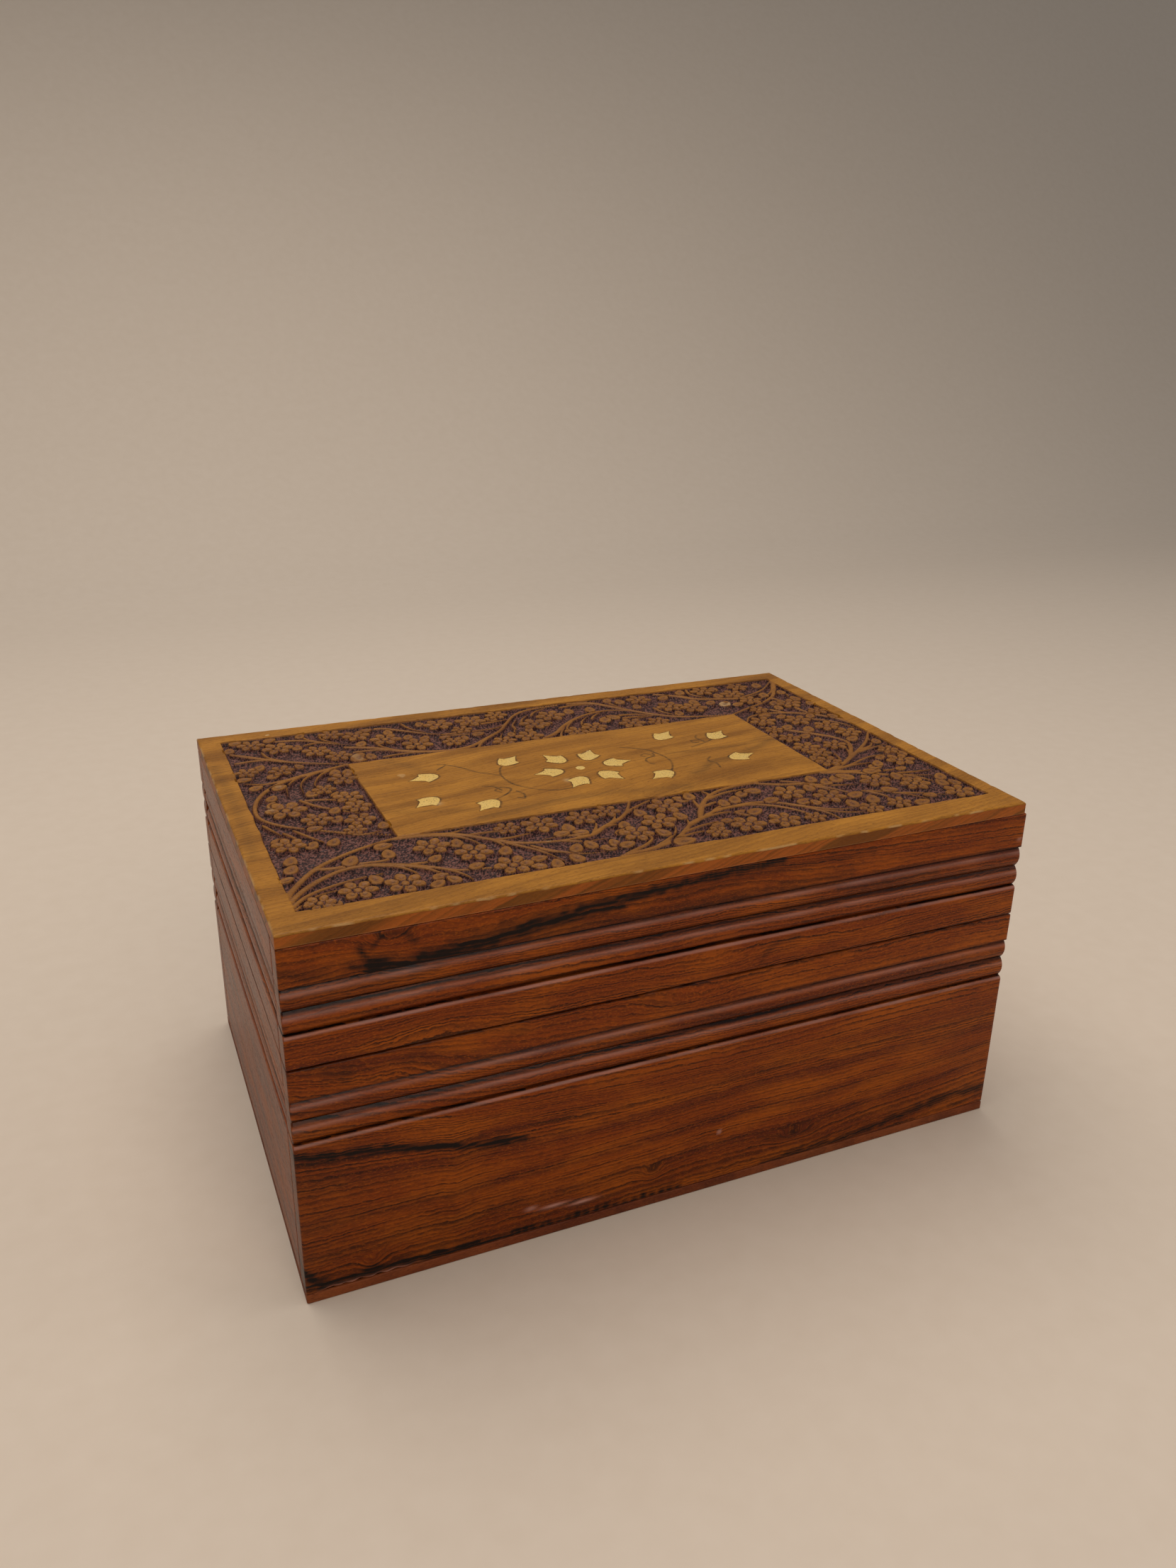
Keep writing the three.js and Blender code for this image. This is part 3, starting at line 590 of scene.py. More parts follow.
# Sizes in mm; heights below the board's top. The carving is a field of heights on one raster:
# the band is sunk to its ground, and each stroke, petal and leaf is raised out of it.
carving = dict(
    step=0.32, ground=2.1, wall=0.7, stipple=0.3, frameSide=9.2, frameFront=13.7, frameBack=9.8,
    band=47.4, lap=4.0, petals=6, cut=0.34, strokeShare=0.72, leafShare=0.92,
    # six-petalled flowers: place across and up the board, radius, turn in degrees
    flowers=[
        (-120, -78.5, 6.9, 10), (-103.5, -79, 7.3, 25), (-86.5, -53, 7.0, 0), (-73.5, -63.5, 7.2, 20),
        (-63.5, -79, 7.3, 5), (-42, -48.7, 7.3, 30), (-24, -48.5, 6.6, 10), (-12.5, -46.2, 5.6, 20),
        (11.8, -49.5, 7.2, 15), (2.6, -62.6, 7.2, 5), (-10.5, -70, 6.8, 25), (34, -78, 7.2, 15),
        (49.5, -79.5, 6.8, 0), (66.5, -55.5, 6.9, 12), (80, -65, 6.9, 28), (108.5, -57, 6.9, 8),
        (122.5, -66, 6.7, 20), (134.5, -80, 6.5, 0), (89, -82, 5.2, 15), (103, -81.3, 5.4, 5),
        (19.5, -80.3, 5.0, 20), (-55, -47.5, 5.2, 10), (-134, -83.5, 5.6, 0), (62.5, -81.5, 4.6, 10),
        (-131, 82, 6.2, 10), (-120.5, 74.2, 6.9, 0), (-105, 64.5, 6.4, 20), (-97, 55, 6, 5),
        (-94.5, 84, 5.8, 12), (-84, 78.5, 6.4, 0), (-72.5, 69, 7.2, 15), (-60.5, 57.5, 7.2, 25),
        (-44, 80.5, 7.2, 8), (-28, 80, 7.2, 20), (-35.5, 69.5, 5, 0), (-13.5, 84, 5.4, 10),
        (-0.5, 65, 7.2, 20), (11, 74, 7.2, 5), (-9, 49.5, 6.8, 12), (-22, 47, 5.8, 0),
        (14.5, 47.5, 6.2, 25), (24.5, 50.5, 6.4, 5), (44, 49.5, 6.6, 15), (57, 47.2, 5.6, 0),
        (62.5, 81.5, 6.4, 20), (72.5, 66, 7, 5), (83, 60, 7, 18), (100, 83, 6.4, 10),
        (112.5, 73, 6.2, 25), (116, 60.5, 6, 0), (121, 83, 5.6, 12), (131.5, 49, 6.6, 5),
        (-44, 55, 5.4, 15), (-138, 48, 5.2, 10), (-124, 45.5, 5.6, 0), (112, 45, 4.8, 8),
        (-101.5, 27, 6.4, 10), (-130, 0.8, 8.2, 5), (-104, 6, 6.2, 20), (-103, -5, 6, 0),
        (-120.5, -12.5, 6.2, 12), (-105, -18.5, 6.2, 5), (-135, -33, 6.4, 20), (-111.5, 17.5, 5, 10),
        (-109, -27.5, 4.6, 15), (104.5, 29, 6.6, 5), (121.5, 24.5, 6.7, 15), (130, 12, 6.6, 0),
        (134.5, 0.5, 6.2, 20), (104, -10.5, 6.5, 10), (118, -12.5, 5.8, 5), (105.5, -18.8, 5.6, 25),
        (134.5, -40, 6.6, 10), (138.5, 33.5, 5, 0), (103, -30, 6.2, 15), (103.5, 3, 5.4, 5),
        (137, -27, 5, 10), (103, 16, 4.6, 0),
    ],
    # single dished leaves: place, length, turn in degrees
    leaves=[
        (-137, -47, 8, 70), (-138, -54, 8, 60), (-141, -62, 6, 30), (-103, -46.5, 8, 10),
        (-103, -53.5, 8, 85), (-117, -54.5, 9, 60), (-88, -63.5, 7, 45), (-62.2, -66.5, 8, 65),
        (-77, -53.5, 8, 80), (-90.5, -78.5, 7, 20), (-93, -83.8, 7, 35), (-87, -82.3, 7, 120),
        (-129, -85, 6, 100), (-112.5, -72.5, 8, 100), (-53, -77.5, 7, 10), (-48.5, -83.5, 7.5, 80),
        (-55.5, -83.5, 6.5, 150), (-76, -75, 7, 20), (-33, -56, 8.5, 80), (-37, -60, 7.5, 5),
        (-30, -61.5, 7, 160), (-0.8, -52.3, 8, 90), (12.6, -61, 8, 100), (21, -45.5, 8, 130),
        (-11.5, -61, 7.5, 70), (-15, -67, 7, 20), (38, -67.5, 8.5, 150), (43, -68, 8, 20),
        (35.4, -55.5, 7.5, 80), (41.5, -54, 8, 65), (47.5, -49.5, 7.5, 40), (53, -48.5, 8, 160),
        (-26, -78, 7.5, 150), (-22, -74.8, 7, 90), (-17.8, -78, 7.5, 20), (-37, -74, 8, 60),
        (-31, -73, 8, 95), (-40.3, -82, 8, 110), (-0.8, -73, 8, 110), (3.5, -83.3, 10, 4),
        (77, -54, 7.5, 85), (55.5, -60, 8, 15), (67.5, -66, 8, 15), (83.3, -45.6, 8, 75),
        (88, -50.5, 8, 65), (94, -49, 9, 60), (98.8, -48.6, 9, 130), (91.3, -67.5, 8.5, 20),
        (120.3, -56, 8.5, 80), (134, -69, 8, 85), (108, -68, 8, -20), (95, -74, 9, 65),
        (84.3, -75, 8.5, 85), (112.5, -84.2, 8, 10), (120, -79, 6.5, 160), (71, -68.5, 6, 100),
        (114, -47.2, 9, -8), (119, -43, 8, 10), (138, -63, 8, 60), (139, -71, 7, 100), (28, -72, 6, 10),
        (22.5, -74.8, 7, 30), (25.5, -44, 8, 80), (128, -49, 6, 10), (-141, 78, 7, 80), (-137, 87, 7, 10),
        (-122, 86, 7, 30), (-108, 87, 6.5, 60), (-112, 72, 7, 80), (-132, 52, 7.5, 60),
        (-116, 48, 6, 110), (-89, 50, 12, 70), (-84, 49.5, 7.5, 90), (-84, 67, 7.5, 60), (-78, 84, 7, 20),
        (-69, 78, 7, 80), (-62, 68, 7, 70), (-55, 64, 7, 60), (-52, 84, 7, 90), (-38, 58, 6.5, 80),
        (-46, 62, 6, 10), (-30, 61, 7, 20), (-18, 79, 7, 150), (-16, 55, 6, 80), (5, 63, 7.5, 20),
        (-6, 58, 6, 70), (33, 76, 8, 80), (22, 77, 8, 80), (34, 59, 9, 60), (39, 61, 8, 130),
        (52, 82, 8, 80), (47, 86, 7, 60), (57, 72, 7, 80), (76, 80, 8, 40), (72, 55, 7, 80),
        (88, 85, 8, 60), (87, 68, 8, 80), (95, 64, 7, 40), (101, 60, 9, 50), (107, 57, 7, 20),
        (107, 84, 8, 70), (132, 82, 8, 70), (127, 66, 8, 70), (125, 52, 8, 60), (139, 55, 8, 90),
        (138, 67, 7, 80), (104, 73, 8, 80), (123, 45, 7, 80), (142, 46, 6, 80), (-103, 35, 8, 80),
        (-98, 34, 7, 80), (-128, 26, 7.5, 30), (-117, 15, 8, 80), (-137, 29, 7, 30), (-108, 10, 7, 70),
        (-138, -28, 7, 40), (-123, -21, 7, 10), (-113, -15, 7, 60), (-127, -36, 7.5, 60),
        (-119, -36, 7.5, 60), (-134, 8, 7, 70), (-140, 40, 7, 10), (-128, 40, 7, 30), (-112, -6, 7, 60),
        (-98, -27, 7, 80), (-133, 15, 7, 60), (111, 17, 8, 40), (119, 11, 8.5, 60), (117, 32, 7, 30),
        (131, 28, 7, 50), (99, 10, 6.5, 80), (112, 3, 7.5, 30), (141, 24, 7, 100), (115, -3, 6, 60),
        (99, -24, 6, 80), (131, -8, 8, 30), (139, -15, 7, 70), (140, -33, 7, 80), (122, -40, 7.5, 60),
        (128, -34, 6, 20), (110, 36, 7, 0),
    ],
    # stems and fronds: width at the start and end, then the points they pass through
    strokes=[
        (4.0, 2.2, [(-147, -83), (-141, -71), (-130, -56.5), (-116, -47.5), (-103, -42.5), (-95, -40.6)]),
        (
            3.6, 2.0,
            [
                (-147, -86), (-137, -71.5), (-123, -61.5), (-111, -60.6), (-100, -64.5), (-91, -70.5),
                (-83, -76), (-72, -78.5),
            ],
        ),
        (2.8, 1.2, [(-147, -89), (-138, -77.5), (-127, -72), (-116, -69.5), (-109, -69)]),
        (1.8, 0.9, [(-143, -86), (-134, -78), (-124, -75.5)]),
        (2.4, 0.8, [(-111, -61), (-103, -65), (-98.5, -71), (-97, -76)]),
        (2.4, 0.8, [(-102, -64), (-94, -70), (-89, -77), (-87, -81)]),
        (2.2, 0.8, [(-93, -68.5), (-86, -75), (-82, -81), (-80.5, -86)]),
        (2.0, 1.0, [(-98, -65), (-92, -65.6), (-88, -65.5)]),
        (3.0, 1.6, [(-130, -57), (-124, -58.5), (-116, -58), (-106, -58.6), (-102, -57)]),
        (2.8, 1.4, [(-98, -41.5), (-88, -42.5), (-78, -46), (-71.5, -52), (-68.3, -60)]),
        (
            3.6, 2.2,
            [
                (-97, -41), (-84, -42.5), (-73, -47), (-64.5, -54.5), (-56, -61.5), (-47, -64.6),
                (-36, -66), (-26, -65),
            ],
        ),
        (2.2, 0.9, [(-70, -48.5), (-63, -57), (-60.5, -66), (-61, -71)]),
        (2.2, 0.9, [(-60, -60), (-53, -68), (-48, -76), (-44, -86)]),
        (2.2, 0.9, [(-83, -42.6), (-76, -44), (-70, -42)]),
        (2.2, 1.0, [(-70, -48), (-62, -48.5), (-56, -50)]),
        (2.4, 1.0, [(-63, -56), (-56, -56.3), (-48, -55)]),
        (2.2, 1.0, [(-52, -66), (-46, -73), (-36, -79.5), (-22, -81)]),
        (2.0, 0.9, [(-40, -66), (-32, -69.5), (-22, -70)]),
        (1.8, 0.8, [(-50, -70), (-44, -75), (-33, -77.5)]),
        (3.8, 2.6, [(-34, -66), (-26, -64.5), (-19, -59.5), (-11, -55), (-5, -49), (0.5, -40)]),
        (2.2, 1.0, [(-26, -64), (-22, -58), (-20.5, -52.5)]),
        (2.4, 1.0, [(-17, -58.6), (-12.5, -54), (-11, -49.5)]),
        (2.2, 0.9, [(-30, -64.5), (-36, -62.6), (-46, -62)]),
        (2.6, 1.2, [(-8, -52), (0, -46.5), (8, -42.5), (16, -40.8)]),
        (1.8, 0.8, [(-24, -62), (-17, -59.8), (-9, -58.8)]),
        (
            3.6, 2.4,
            [
                (-24, -86.5), (-10, -84.5), (1, -80.5), (8, -74.5), (15, -68), (24, -64), (31, -59),
                (38, -58),
            ],
        ),
        (2.8, 1.2, [(-22, -85.5), (-12, -81), (-7, -76.5), (-7.6, -72.5)]),
        (2.6, 1.0, [(-9, -84), (-1, -79), (4.5, -73.5), (8, -65)]),
        (2.4, 1.0, [(5, -77), (12, -70), (14.5, -62)]),
        (2.8, 1.2, [(12, -71), (20, -66.3), (29, -64.4), (37, -65.6)]),
        (2.4, 0.9, [(7, -76), (15, -73), (24, -71.6), (31, -72)]),
        (2.0, 0.9, [(2, -80), (11, -77.8), (22, -77.5)]),
        (3.8, 2.6, [(19, -66), (24.5, -57), (30, -50), (38, -44), (48, -41.3), (60, -40.8)]),
        (2.4, 1.4, [(24, -57.5), (25, -50), (26.4, -44)]),
        (2.4, 1.0, [(27, -55.5), (32, -53.8), (37, -54)]),
        (2.6, 1.2, [(32, -49.5), (41, -46), (52, -45)]), (2.2, 1.2, [(30, -50), (34, -45), (33, -41.5)]),
        (3.0, 1.4, [(23, -63.5), (33, -60.6), (44, -61), (52, -65), (58, -71), (62, -78), (64, -86)]),
        (3.0, 1.4, [(36, -60), (48, -60), (57, -64), (64.5, -71.5), (69.5, -80), (71, -87)]),
        (2.6, 1.0, [(58, -65), (66, -72), (75, -78), (87, -80)]),
        (1.8, 0.8, [(68, -76), (77, -82), (86, -84.5)]),
        (2.8, 1.4, [(59, -42), (68, -46.5), (78, -50), (85, -57), (89.5, -64), (93, -70)]),
        (2.2, 0.9, [(76, -49.5), (83, -57), (84.5, -64)]),
        (2.2, 0.9, [(80, -51), (89, -55.5), (99, -57.5)]),
        (1.8, 0.8, [(70, -43), (77, -47.5), (84, -52)]),
        (3.2, 1.6, [(92, -41), (103, -44.5), (114, -51), (122.5, -57.5), (128, -66)]),
        (2.6, 1.2, [(98, -41), (108, -44.8), (120, -48.6), (129, -49)]),
        (2.4, 1.0, [(108, -48), (118, -53.4), (128, -57.5), (140, -62)]),
        (2.2, 0.8, [(120, -53), (128, -60), (132.5, -68)]),
        (2.2, 0.9, [(96, -65), (104, -69), (112, -75), (117.5, -83)]),
        (2.0, 0.9, [(98, -66.5), (102, -73), (101, -78)]),
        (2.0, 0.9, [(108, -72), (118, -76), (128, -81.5)]),
        (2.0, 0.9, [(122, -53), (131, -54.5), (139, -55)]),
        (3.4, 1.8, [(-141, 73), (-132, 65.5), (-121, 56.5), (-109, 49.5), (-96, 44)]),
        (2.2, 1.0, [(-141, 61), (-130, 61.5), (-121, 57)]),
        (2.2, 1.0, [(-128, 71), (-126, 63), (-119, 56)]),
        (2.2, 0.9, [(-120, 83.5), (-109, 81), (-99, 74), (-89, 67.5)]),
        (2.4, 1.0, [(-108, 87), (-105, 80), (-97, 73)]), (2.2, 0.9, [(-100, 83), (-98.5, 77), (-93, 71)]),
        (2.0, 0.8, [(-109, 73.5), (-102, 75), (-95, 71)]),
        (
            3.6, 2.6,
            [
                (-92, 65), (-81, 60), (-72, 53), (-62, 47.5), (-50, 44.4), (-39, 46), (-29, 53.5),
                (-19, 62), (-12, 72), (-5, 81), (5, 86.5), (20, 88),
            ],
        ),
        (2.4, 1.0, [(-90, 57), (-81, 56.5), (-72, 52.5)]),
        (2.2, 1.0, [(-78, 67), (-76, 59.5), (-70, 52)]),
        (2.2, 1.0, [(-79, 46.6), (-69, 47.5), (-58, 45.8)]),
        (2.2, 1.0, [(-36, 43), (-33, 48), (-26, 55.5)]), (2.2, 0.8, [(-22, 44), (-22.5, 51), (-19, 59)]),
        (2.2, 0.8, [(-14.5, 50), (-13.5, 57), (-10, 66)]), (2.2, 0.8, [(-11.5, 61), (-11, 67), (-6, 75)]),
        (2.2, 0.8, [(-7, 66), (-4, 73), (1, 79)]), (2.0, 0.8, [(2, 77), (6, 82), (13, 86)]),
        (2.2, 0.9, [(-48, 63.5), (-36, 62.5), (-25, 58)]),
        (2.2, 0.9, [(-46, 66), (-32, 65.4), (-20, 66), (-14, 70)]),
        (2.2, 0.9, [(-30, 74), (-20, 74.5), (-11, 76)]),
        (2.8, 1.2, [(-78, 85), (-70, 84), (-61, 77), (-54, 71), (-44, 65)]),
        (2.0, 0.9, [(-60, 88), (-58, 80), (-52, 71)]),
        (3.4, 2.0, [(-4, 44), (4, 49), (11, 57), (19, 64), (29, 69.5), (40, 71.5), (50, 68)]),
        (2.2, 0.9, [(4.5, 43), (6.5, 48), (11, 55)]), (2.2, 0.8, [(10.5, 50), (13, 56), (18, 62)]),
        (2.2, 0.8, [(20, 53), (22, 60), (28, 67)]), (2.2, 0.8, [(28, 62), (31, 66), (36, 70)]),
        (2.2, 0.9, [(42, 58), (50, 57.5), (60, 56)]), (2.2, 0.9, [(40, 62.5), (50, 61.5), (59, 57)]),
        (
            3.6, 2.4,
            [(26, 88), (37, 85.5), (44.5, 77), (51, 68), (59, 58.5), (68, 51), (80, 46.5), (96, 43)],
        ),
        (2.0, 0.9, [(20, 84), (30, 85), (38, 83)]), (2.2, 0.9, [(64, 67), (65.5, 59), (71, 51.5)]),
        (2.0, 0.9, [(45, 86), (47, 79), (50, 71)]), (1.8, 0.9, [(40, 50), (48, 54.5), (58, 56)]),
        (
            3.2, 1.8,
            [(74, 87), (83, 80.5), (90, 73), (99, 69), (110, 66.5), (120, 68.5), (132, 75), (143, 86)],
        ),
        (2.4, 1.0, [(93, 88), (92, 80), (98, 71)]), (2.0, 0.9, [(80, 82), (86, 79), (91, 73)]),
        (2.0, 0.9, [(106, 66), (116, 65), (126, 69)]),
        (3.4, 2.4, [(146, 91), (140, 77), (131, 63.5), (120, 55), (108, 49.5), (95, 43)]),
        (2.4, 1.0, [(143, 84), (134, 70), (122, 61), (113, 58)]),
        (2.2, 1.0, [(128, 60), (131, 53), (130, 46)]), (2.0, 0.9, [(136, 70), (139, 63), (137, 57)]),
        (
            3.6, 2.0,
            [
                (-96, 43), (-110, 38.5), (-124, 33), (-135, 22.5), (-140.5, 10), (-141, -3), (-135, -13),
                (-125, -21), (-113, -29), (-98, -37),
            ],
        ),
        (2.4, 1.0, [(-105, 40), (-117, 36), (-124.5, 27), (-126.5, 16)]),
        (2.4, 1.0, [(-102, 41), (-113, 36), (-119, 27), (-120, 14)]),
        (2.2, 0.9, [(-101, 41), (-109, 35), (-113.5, 26), (-113.5, 20)]),
        (2.2, 0.9, [(-123, 34), (-133, 32), (-141, 36)]),
        (2.6, 1.2, [(-123, 9), (-118, 1), (-110.5, -6.5), (-102, -13.5)]),
        (2.0, 0.8, [(-121, 8), (-112, 6), (-106, 1)]),
        (2.2, 0.9, [(-135, -21), (-131.5, -28), (-129, -36)]),
        (2.2, 0.9, [(-131, -20), (-126, -29), (-121.5, -36)]),
        (2.0, 0.9, [(-141, -11), (-138, -18), (-136, -23)]),
        (2.2, 1.0, [(-116, -27.5), (-108, -33), (-100, -32)]),
        (3.2, 2.0, [(144, 9), (142, 18), (135, 28), (125, 35), (112, 39), (102, 37), (97, 31)]),
        (2.6, 1.0, [(131, 42), (133, 33), (139, 22)]), (2.2, 0.9, [(117, 44), (122, 37), (130, 32)]),
        (2.4, 1.2, [(99, 21), (107, 15), (115, 6.5), (120, 0)]),
        (3.0, 1.4, [(107, 15), (117, 5), (124, -4), (125.5, -14), (120, -24)]),
        (2.0, 0.9, [(128, 24), (134, 19), (139, 12), (142, 3)]),
        (3.8, 2.6, [(94, -40.5), (105, -36), (116, -28.5), (126, -21), (135, -13), (144, -2)]),
        (2.4, 1.0, [(103, -37), (109.5, -29), (111.5, -21)]),
        (2.6, 1.0, [(108, -34.5), (117, -26), (121.5, -14.5)]),
        (2.4, 1.0, [(116, -28), (122, -19), (127, -9), (133, -6)]),
        (2.4, 1.0, [(124, -23), (134, -18.5), (139.5, -7)]),
        (2.2, 1.0, [(122, -25), (132, -22), (142, -20)]),
        (2.6, 1.2, [(96, -41), (110, -37), (124, -31.5), (137, -32.5)]),
        (2.2, 1.0, [(98, -40.5), (110, -38), (120, -38)]),
    ],
)


# nearest point of a path to each place: how far off across it, in half widths, and the half width
def strokeReach(u, v, line, halves):
    gap = (u[..., None] - line[:, 0]) ** 2 + (v[..., None] - line[:, 1]) ** 2
    q = gap / halves ** 2
    best = q.argmin(-1)
    return np.sqrt(np.take_along_axis(q, best[..., None], -1)[..., 0]), halves[best]


def carveField(half, front, back):
    step = carving["step"]
    u = np.arange(-half - 8, half + 8, step)
    v = np.arange(front - 8, back + 8, step)
    x, y = np.meshgrid(u, v)
    wave = 0.25 * uneven(x, y, 9, 31) + 0.1 * uneven(x, y, 2.1, 32)
    outside = np.maximum(np.abs(x) - half, np.maximum(front - y, y - back))
    plaqueFront, plaqueBack = front + carving["band"], back - carving["band"]
    inside = np.minimum(half - carving["band"] - np.abs(x), np.minimum(y - plaqueFront, plaqueBack - y))
    into = np.minimum(-outside, -inside) + wave
    rough = carving["stipple"] * (0.6 * uneven(x, y, 0.9, 33) + 0.4 * uneven(x, y, 1.9, 34))
    ground = -carving["ground"] + rough
    h = ground * smooth(0, carving["wall"], into)

    def window(cx, cy, reach):
        i = slice(max(int((cy - reach - v[0]) / step), 0), max(int((cy + reach - v[0]) / step) + 2, 0))
        j = slice(max(int((cx - reach - u[0]) / step), 0), max(int((cx + reach - u[0]) / step) + 2, 0))
        return i, j

    # stems: a round-backed ridge, -0.12 - 0.5 q^2 to its edge at q = 1, then down to the ground
    for startWidth, endWidth, points in carving["strokes"]:
        line = throughPoints(points, 10 * len(points))
        halves = np.interp(
            np.linspace(0, 1, len(line)), [0, 0.12, 1],
            [startWidth * 0.32, startWidth / 2, endWidth / 2 * 0.7],
        ) * carving["strokeShare"]
        middle, reach = (line.min(0) + line.max(0)) / 2, np.ptp(line, 0) / 2 + 3
        i, _ = window(middle[0], middle[1], reach[1])
        _, j = window(middle[0], middle[1], reach[0])
        q, halfWidth = strokeReach(x[i, j], y[i, j], line, halves)
        fall = smooth(0, 1, (q - 1) * halfWidth / carving["cut"])
        ridge = -0.12 - 0.42 * np.minimum(q, 1) ** 2 + 0.05 * wave[i, j]
        h[i, j] = np.maximum(h[i, j], ridge * (1 - fall) + ground[i, j] * fall)

    # petals and leaves: cut clear of what lies under them, then a rim with a dished middle
    def raised(i, j, distance, dish):
        body = -0.16 - dish + 0.16 * wave[i, j]
        fall = smooth(0, carving["cut"], distance)
        moat = ground[i, j] * 0.86
        around = np.where(distance < carving["cut"] + 0.25, np.minimum(h[i, j], moat), h[i, j])
        live = (into[i, j] > -0.4) & (distance < carving["cut"] + 0.25)
        h[i, j] = np.where(live, body * (1 - fall) + around * fall, h[i, j])

    for cx, cy, size, turn in carving["leaves"]:
        length = size * carving["leafShare"]
        i, j = window(cx, cy, length * 0.75 + 1)
        a = math.radians(turn)
        p, q = x[i, j] - cx, y[i, j] - cy
        s, t = (
            p * math.cos(a) + q * math.sin(a)
        ) / (length / 2), (q * math.cos(a) - p * math.sin(a)) / (length * 0.34)
        t = t / (1 - 0.28 * np.clip(s, -1, 1))
        r = np.sqrt(s ** 2 + t ** 2)
        raised(i, j, (r - 1) * length * 0.34, 0.6 * np.exp(-((s * 1.3) ** 2 + (t * 1.9) ** 2)))
    for cx, cy, radius, turn in carving["flowers"]:
        i, j = window(cx, cy, radius * 1.2 + 1)
        p, q = x[i, j] - cx, y[i, j] - cy
        r = np.hypot(p, q) / radius
        angle = np.arctan2(q, p) + math.radians(turn)
        lobe = np.abs(np.cos(angle * carving["petals"] / 2))
        rim = 0.42 + 0.60 * lobe ** 0.6 * (1 + 0.08 * uneven(angle * 2, angle * 0 + cx, 1, 35))
        dish = 0.55 * np.exp(-((r - 0.60) / 0.2) ** 2) * smooth(0.5, 0.98, lobe)
        crease = 1.8 * (1 - smooth(0.0, 0.3, lobe)) * smooth(0.24, 0.36, r)
        ring = 1.1 * np.exp(-((r - 0.27) / 0.07) ** 2)
        raised(i, j, (r - rim) * radius, dish + crease + ring)
    depth = np.clip(-h / carving["ground"], 0, 1) * smooth(-0.1, 0.3, into)
    return u, v, h, depth


# bilinear reading of the raster at any places
def readField(field, values, x, y):
    u, v = field
    a = np.clip((x - u[0]) / (u[1] - u[0]), 0, len(u) - 1.001)
    b = np.clip((y - v[0]) / (v[1] - v[0]), 0, len(v) - 1.001)
    j, i = a.astype(int), b.astype(int)
    s, t = a - j, b - i
    return ((values[i, j] * (1 - s) + values[i, j + 1] * s) * (1 - t)
            + (values[i + 1, j] * (1 - s) + values[i + 1, j + 1] * s) * t)


# Lid board's grain: growth lines run along the board and swing diagonally, as in a plank cut
# near a fork. Smoky streaks cross the plaque's right end.
topGrain = dict(
    streaks=[
        ([(94, 3), (75, -6), (55, -14), (40, -22)], 2.4, 0.42),
        ([(94, 8), (84, 5), (70, 2), (40, 4)], 1.6, 0.3),
        ([(-60, -36), (-30, -30), (0, -30), (30, -36)], 3, 0.3),
        ([(-94, -16), (-70, -24), (-40, -30)], 2.4, 0.22), ([(-80, 38), (-72, 30), (-68, 20)], 3, 0.22),
        ([(-150, 60), (-148, 10), (-149, -40)], 2.5, 0.3),
    ],
    pale=[
        (100, 59, 4.2, 3.4, 1.0), (-90, 51, 2.4, 4.6, 0.5), (-89.5, 67, 0.5, 1.6, 0.9),
        (-44, -64.5, 1.6, 0.8, 0.9), (-137, 4, 2.4, 3.4, 0.45), (-128.5, 27, 1.6, 1.4, 0.4),
        (107, 40, 1.2, 0.8, 0.6), (7.5, 18.5, 0.9, 1.6, 0.7), (-122, 92.5, 1, 0.5, 0.8),
        (-92, -67, 2, 0.8, 0.5), (-78, 20, 1.6, 2.0, 0.25),
    ],
)


# Thin brass wires laid in the plaque, from listed points, now mostly gone dark
wires = dict(
    width=0.5,
    routes=[
        [
            (-34.3, 16.1), (-36.8, 11.8), (-38.6, 5), (-38.3, -1.3), (-37, -6.7), (-33.6, -11.6),
            (-30, -15.2), (-23.7, -18.8), (-15.6, -19.3),
        ],
        [(-57, 25.7), (-52.5, 21.2), (-47.1, 12.7), (-43.1, 9.1), (-39.5, 5.5)],
        [(-49.4, -19.5), (-43.5, -15.7), (-40, -11), (-43, -8), (-46.7, -10.3), (-45, -13)],
        [(-38.6, -13.9), (-37, -18), (-38.1, -22.4), (-40.5, -21)],
        [
            (32.5, -15.2), (35.1, -10.7), (37, -4.5), (36.6, 1.7), (35.1, 6.4), (33.7, 10.7), (29, 15),
            (23.3, 18.8),
        ],
        [(33.7, 6.4), (32.8, 3.1), (29, 1.7), (26.8, -1.2), (27.5, -5), (28.7, -6.1)],
        [(33, 3), (30, 7), (27.5, 5.5), (28.6, 3.6)],
        [(68.2, 13.6), (63.7, 11.2), (58, 8.8), (54.1, 7.4)], [(63.1, 12), (61.8, 17.9), (63.7, 21.2)],
        [(62, 14.5), (58, 15.5), (57.6, 12.5), (60, 12)],
        [(55.6, -6.9), (52.7, -10.7), (54.5, -15), (53.7, -20.2)], [(-62, 21), (-57, 25.7), (-60, 27)],
        [(-50, -4), (-46, -6), (-44, -11)],
    ],
)


def topMarks(x, y):
    # growth lines: constant along lines that climb to the right, gathered by two broad swells
    ring = y * 0.94 - 0.16 * x + 7 * np.exp(
        -((x + 70) / 45) ** 2 - ((y - 25) / 30) ** 2
    ) - 9 * np.exp(-((x - 60) / 55) ** 2 - ((y + 10) / 26) ** 2)
    ring = ring + 5 * uneven(x, y, 60, 41) + 120
    dark = 0 * x
    for points, width, amount in topGrain["streaks"]:
        dark = np.maximum(dark, amount * nearPath(x, y + 1.5 * uneven(x, y, 9, 42), points, width))
    pale = 0 * x
    for cx, cy, reachX, reachY, amount in topGrain["pale"]:
        blot = ((x - cx) / reachX) ** 2 + ((y - cy) / reachY) ** 2 + 0.7 * uneven(x, y, 1.6, 43)
        pale = np.maximum(pale, amount * smooth(1.25, 0.5, blot))
    return ring, dark, pale


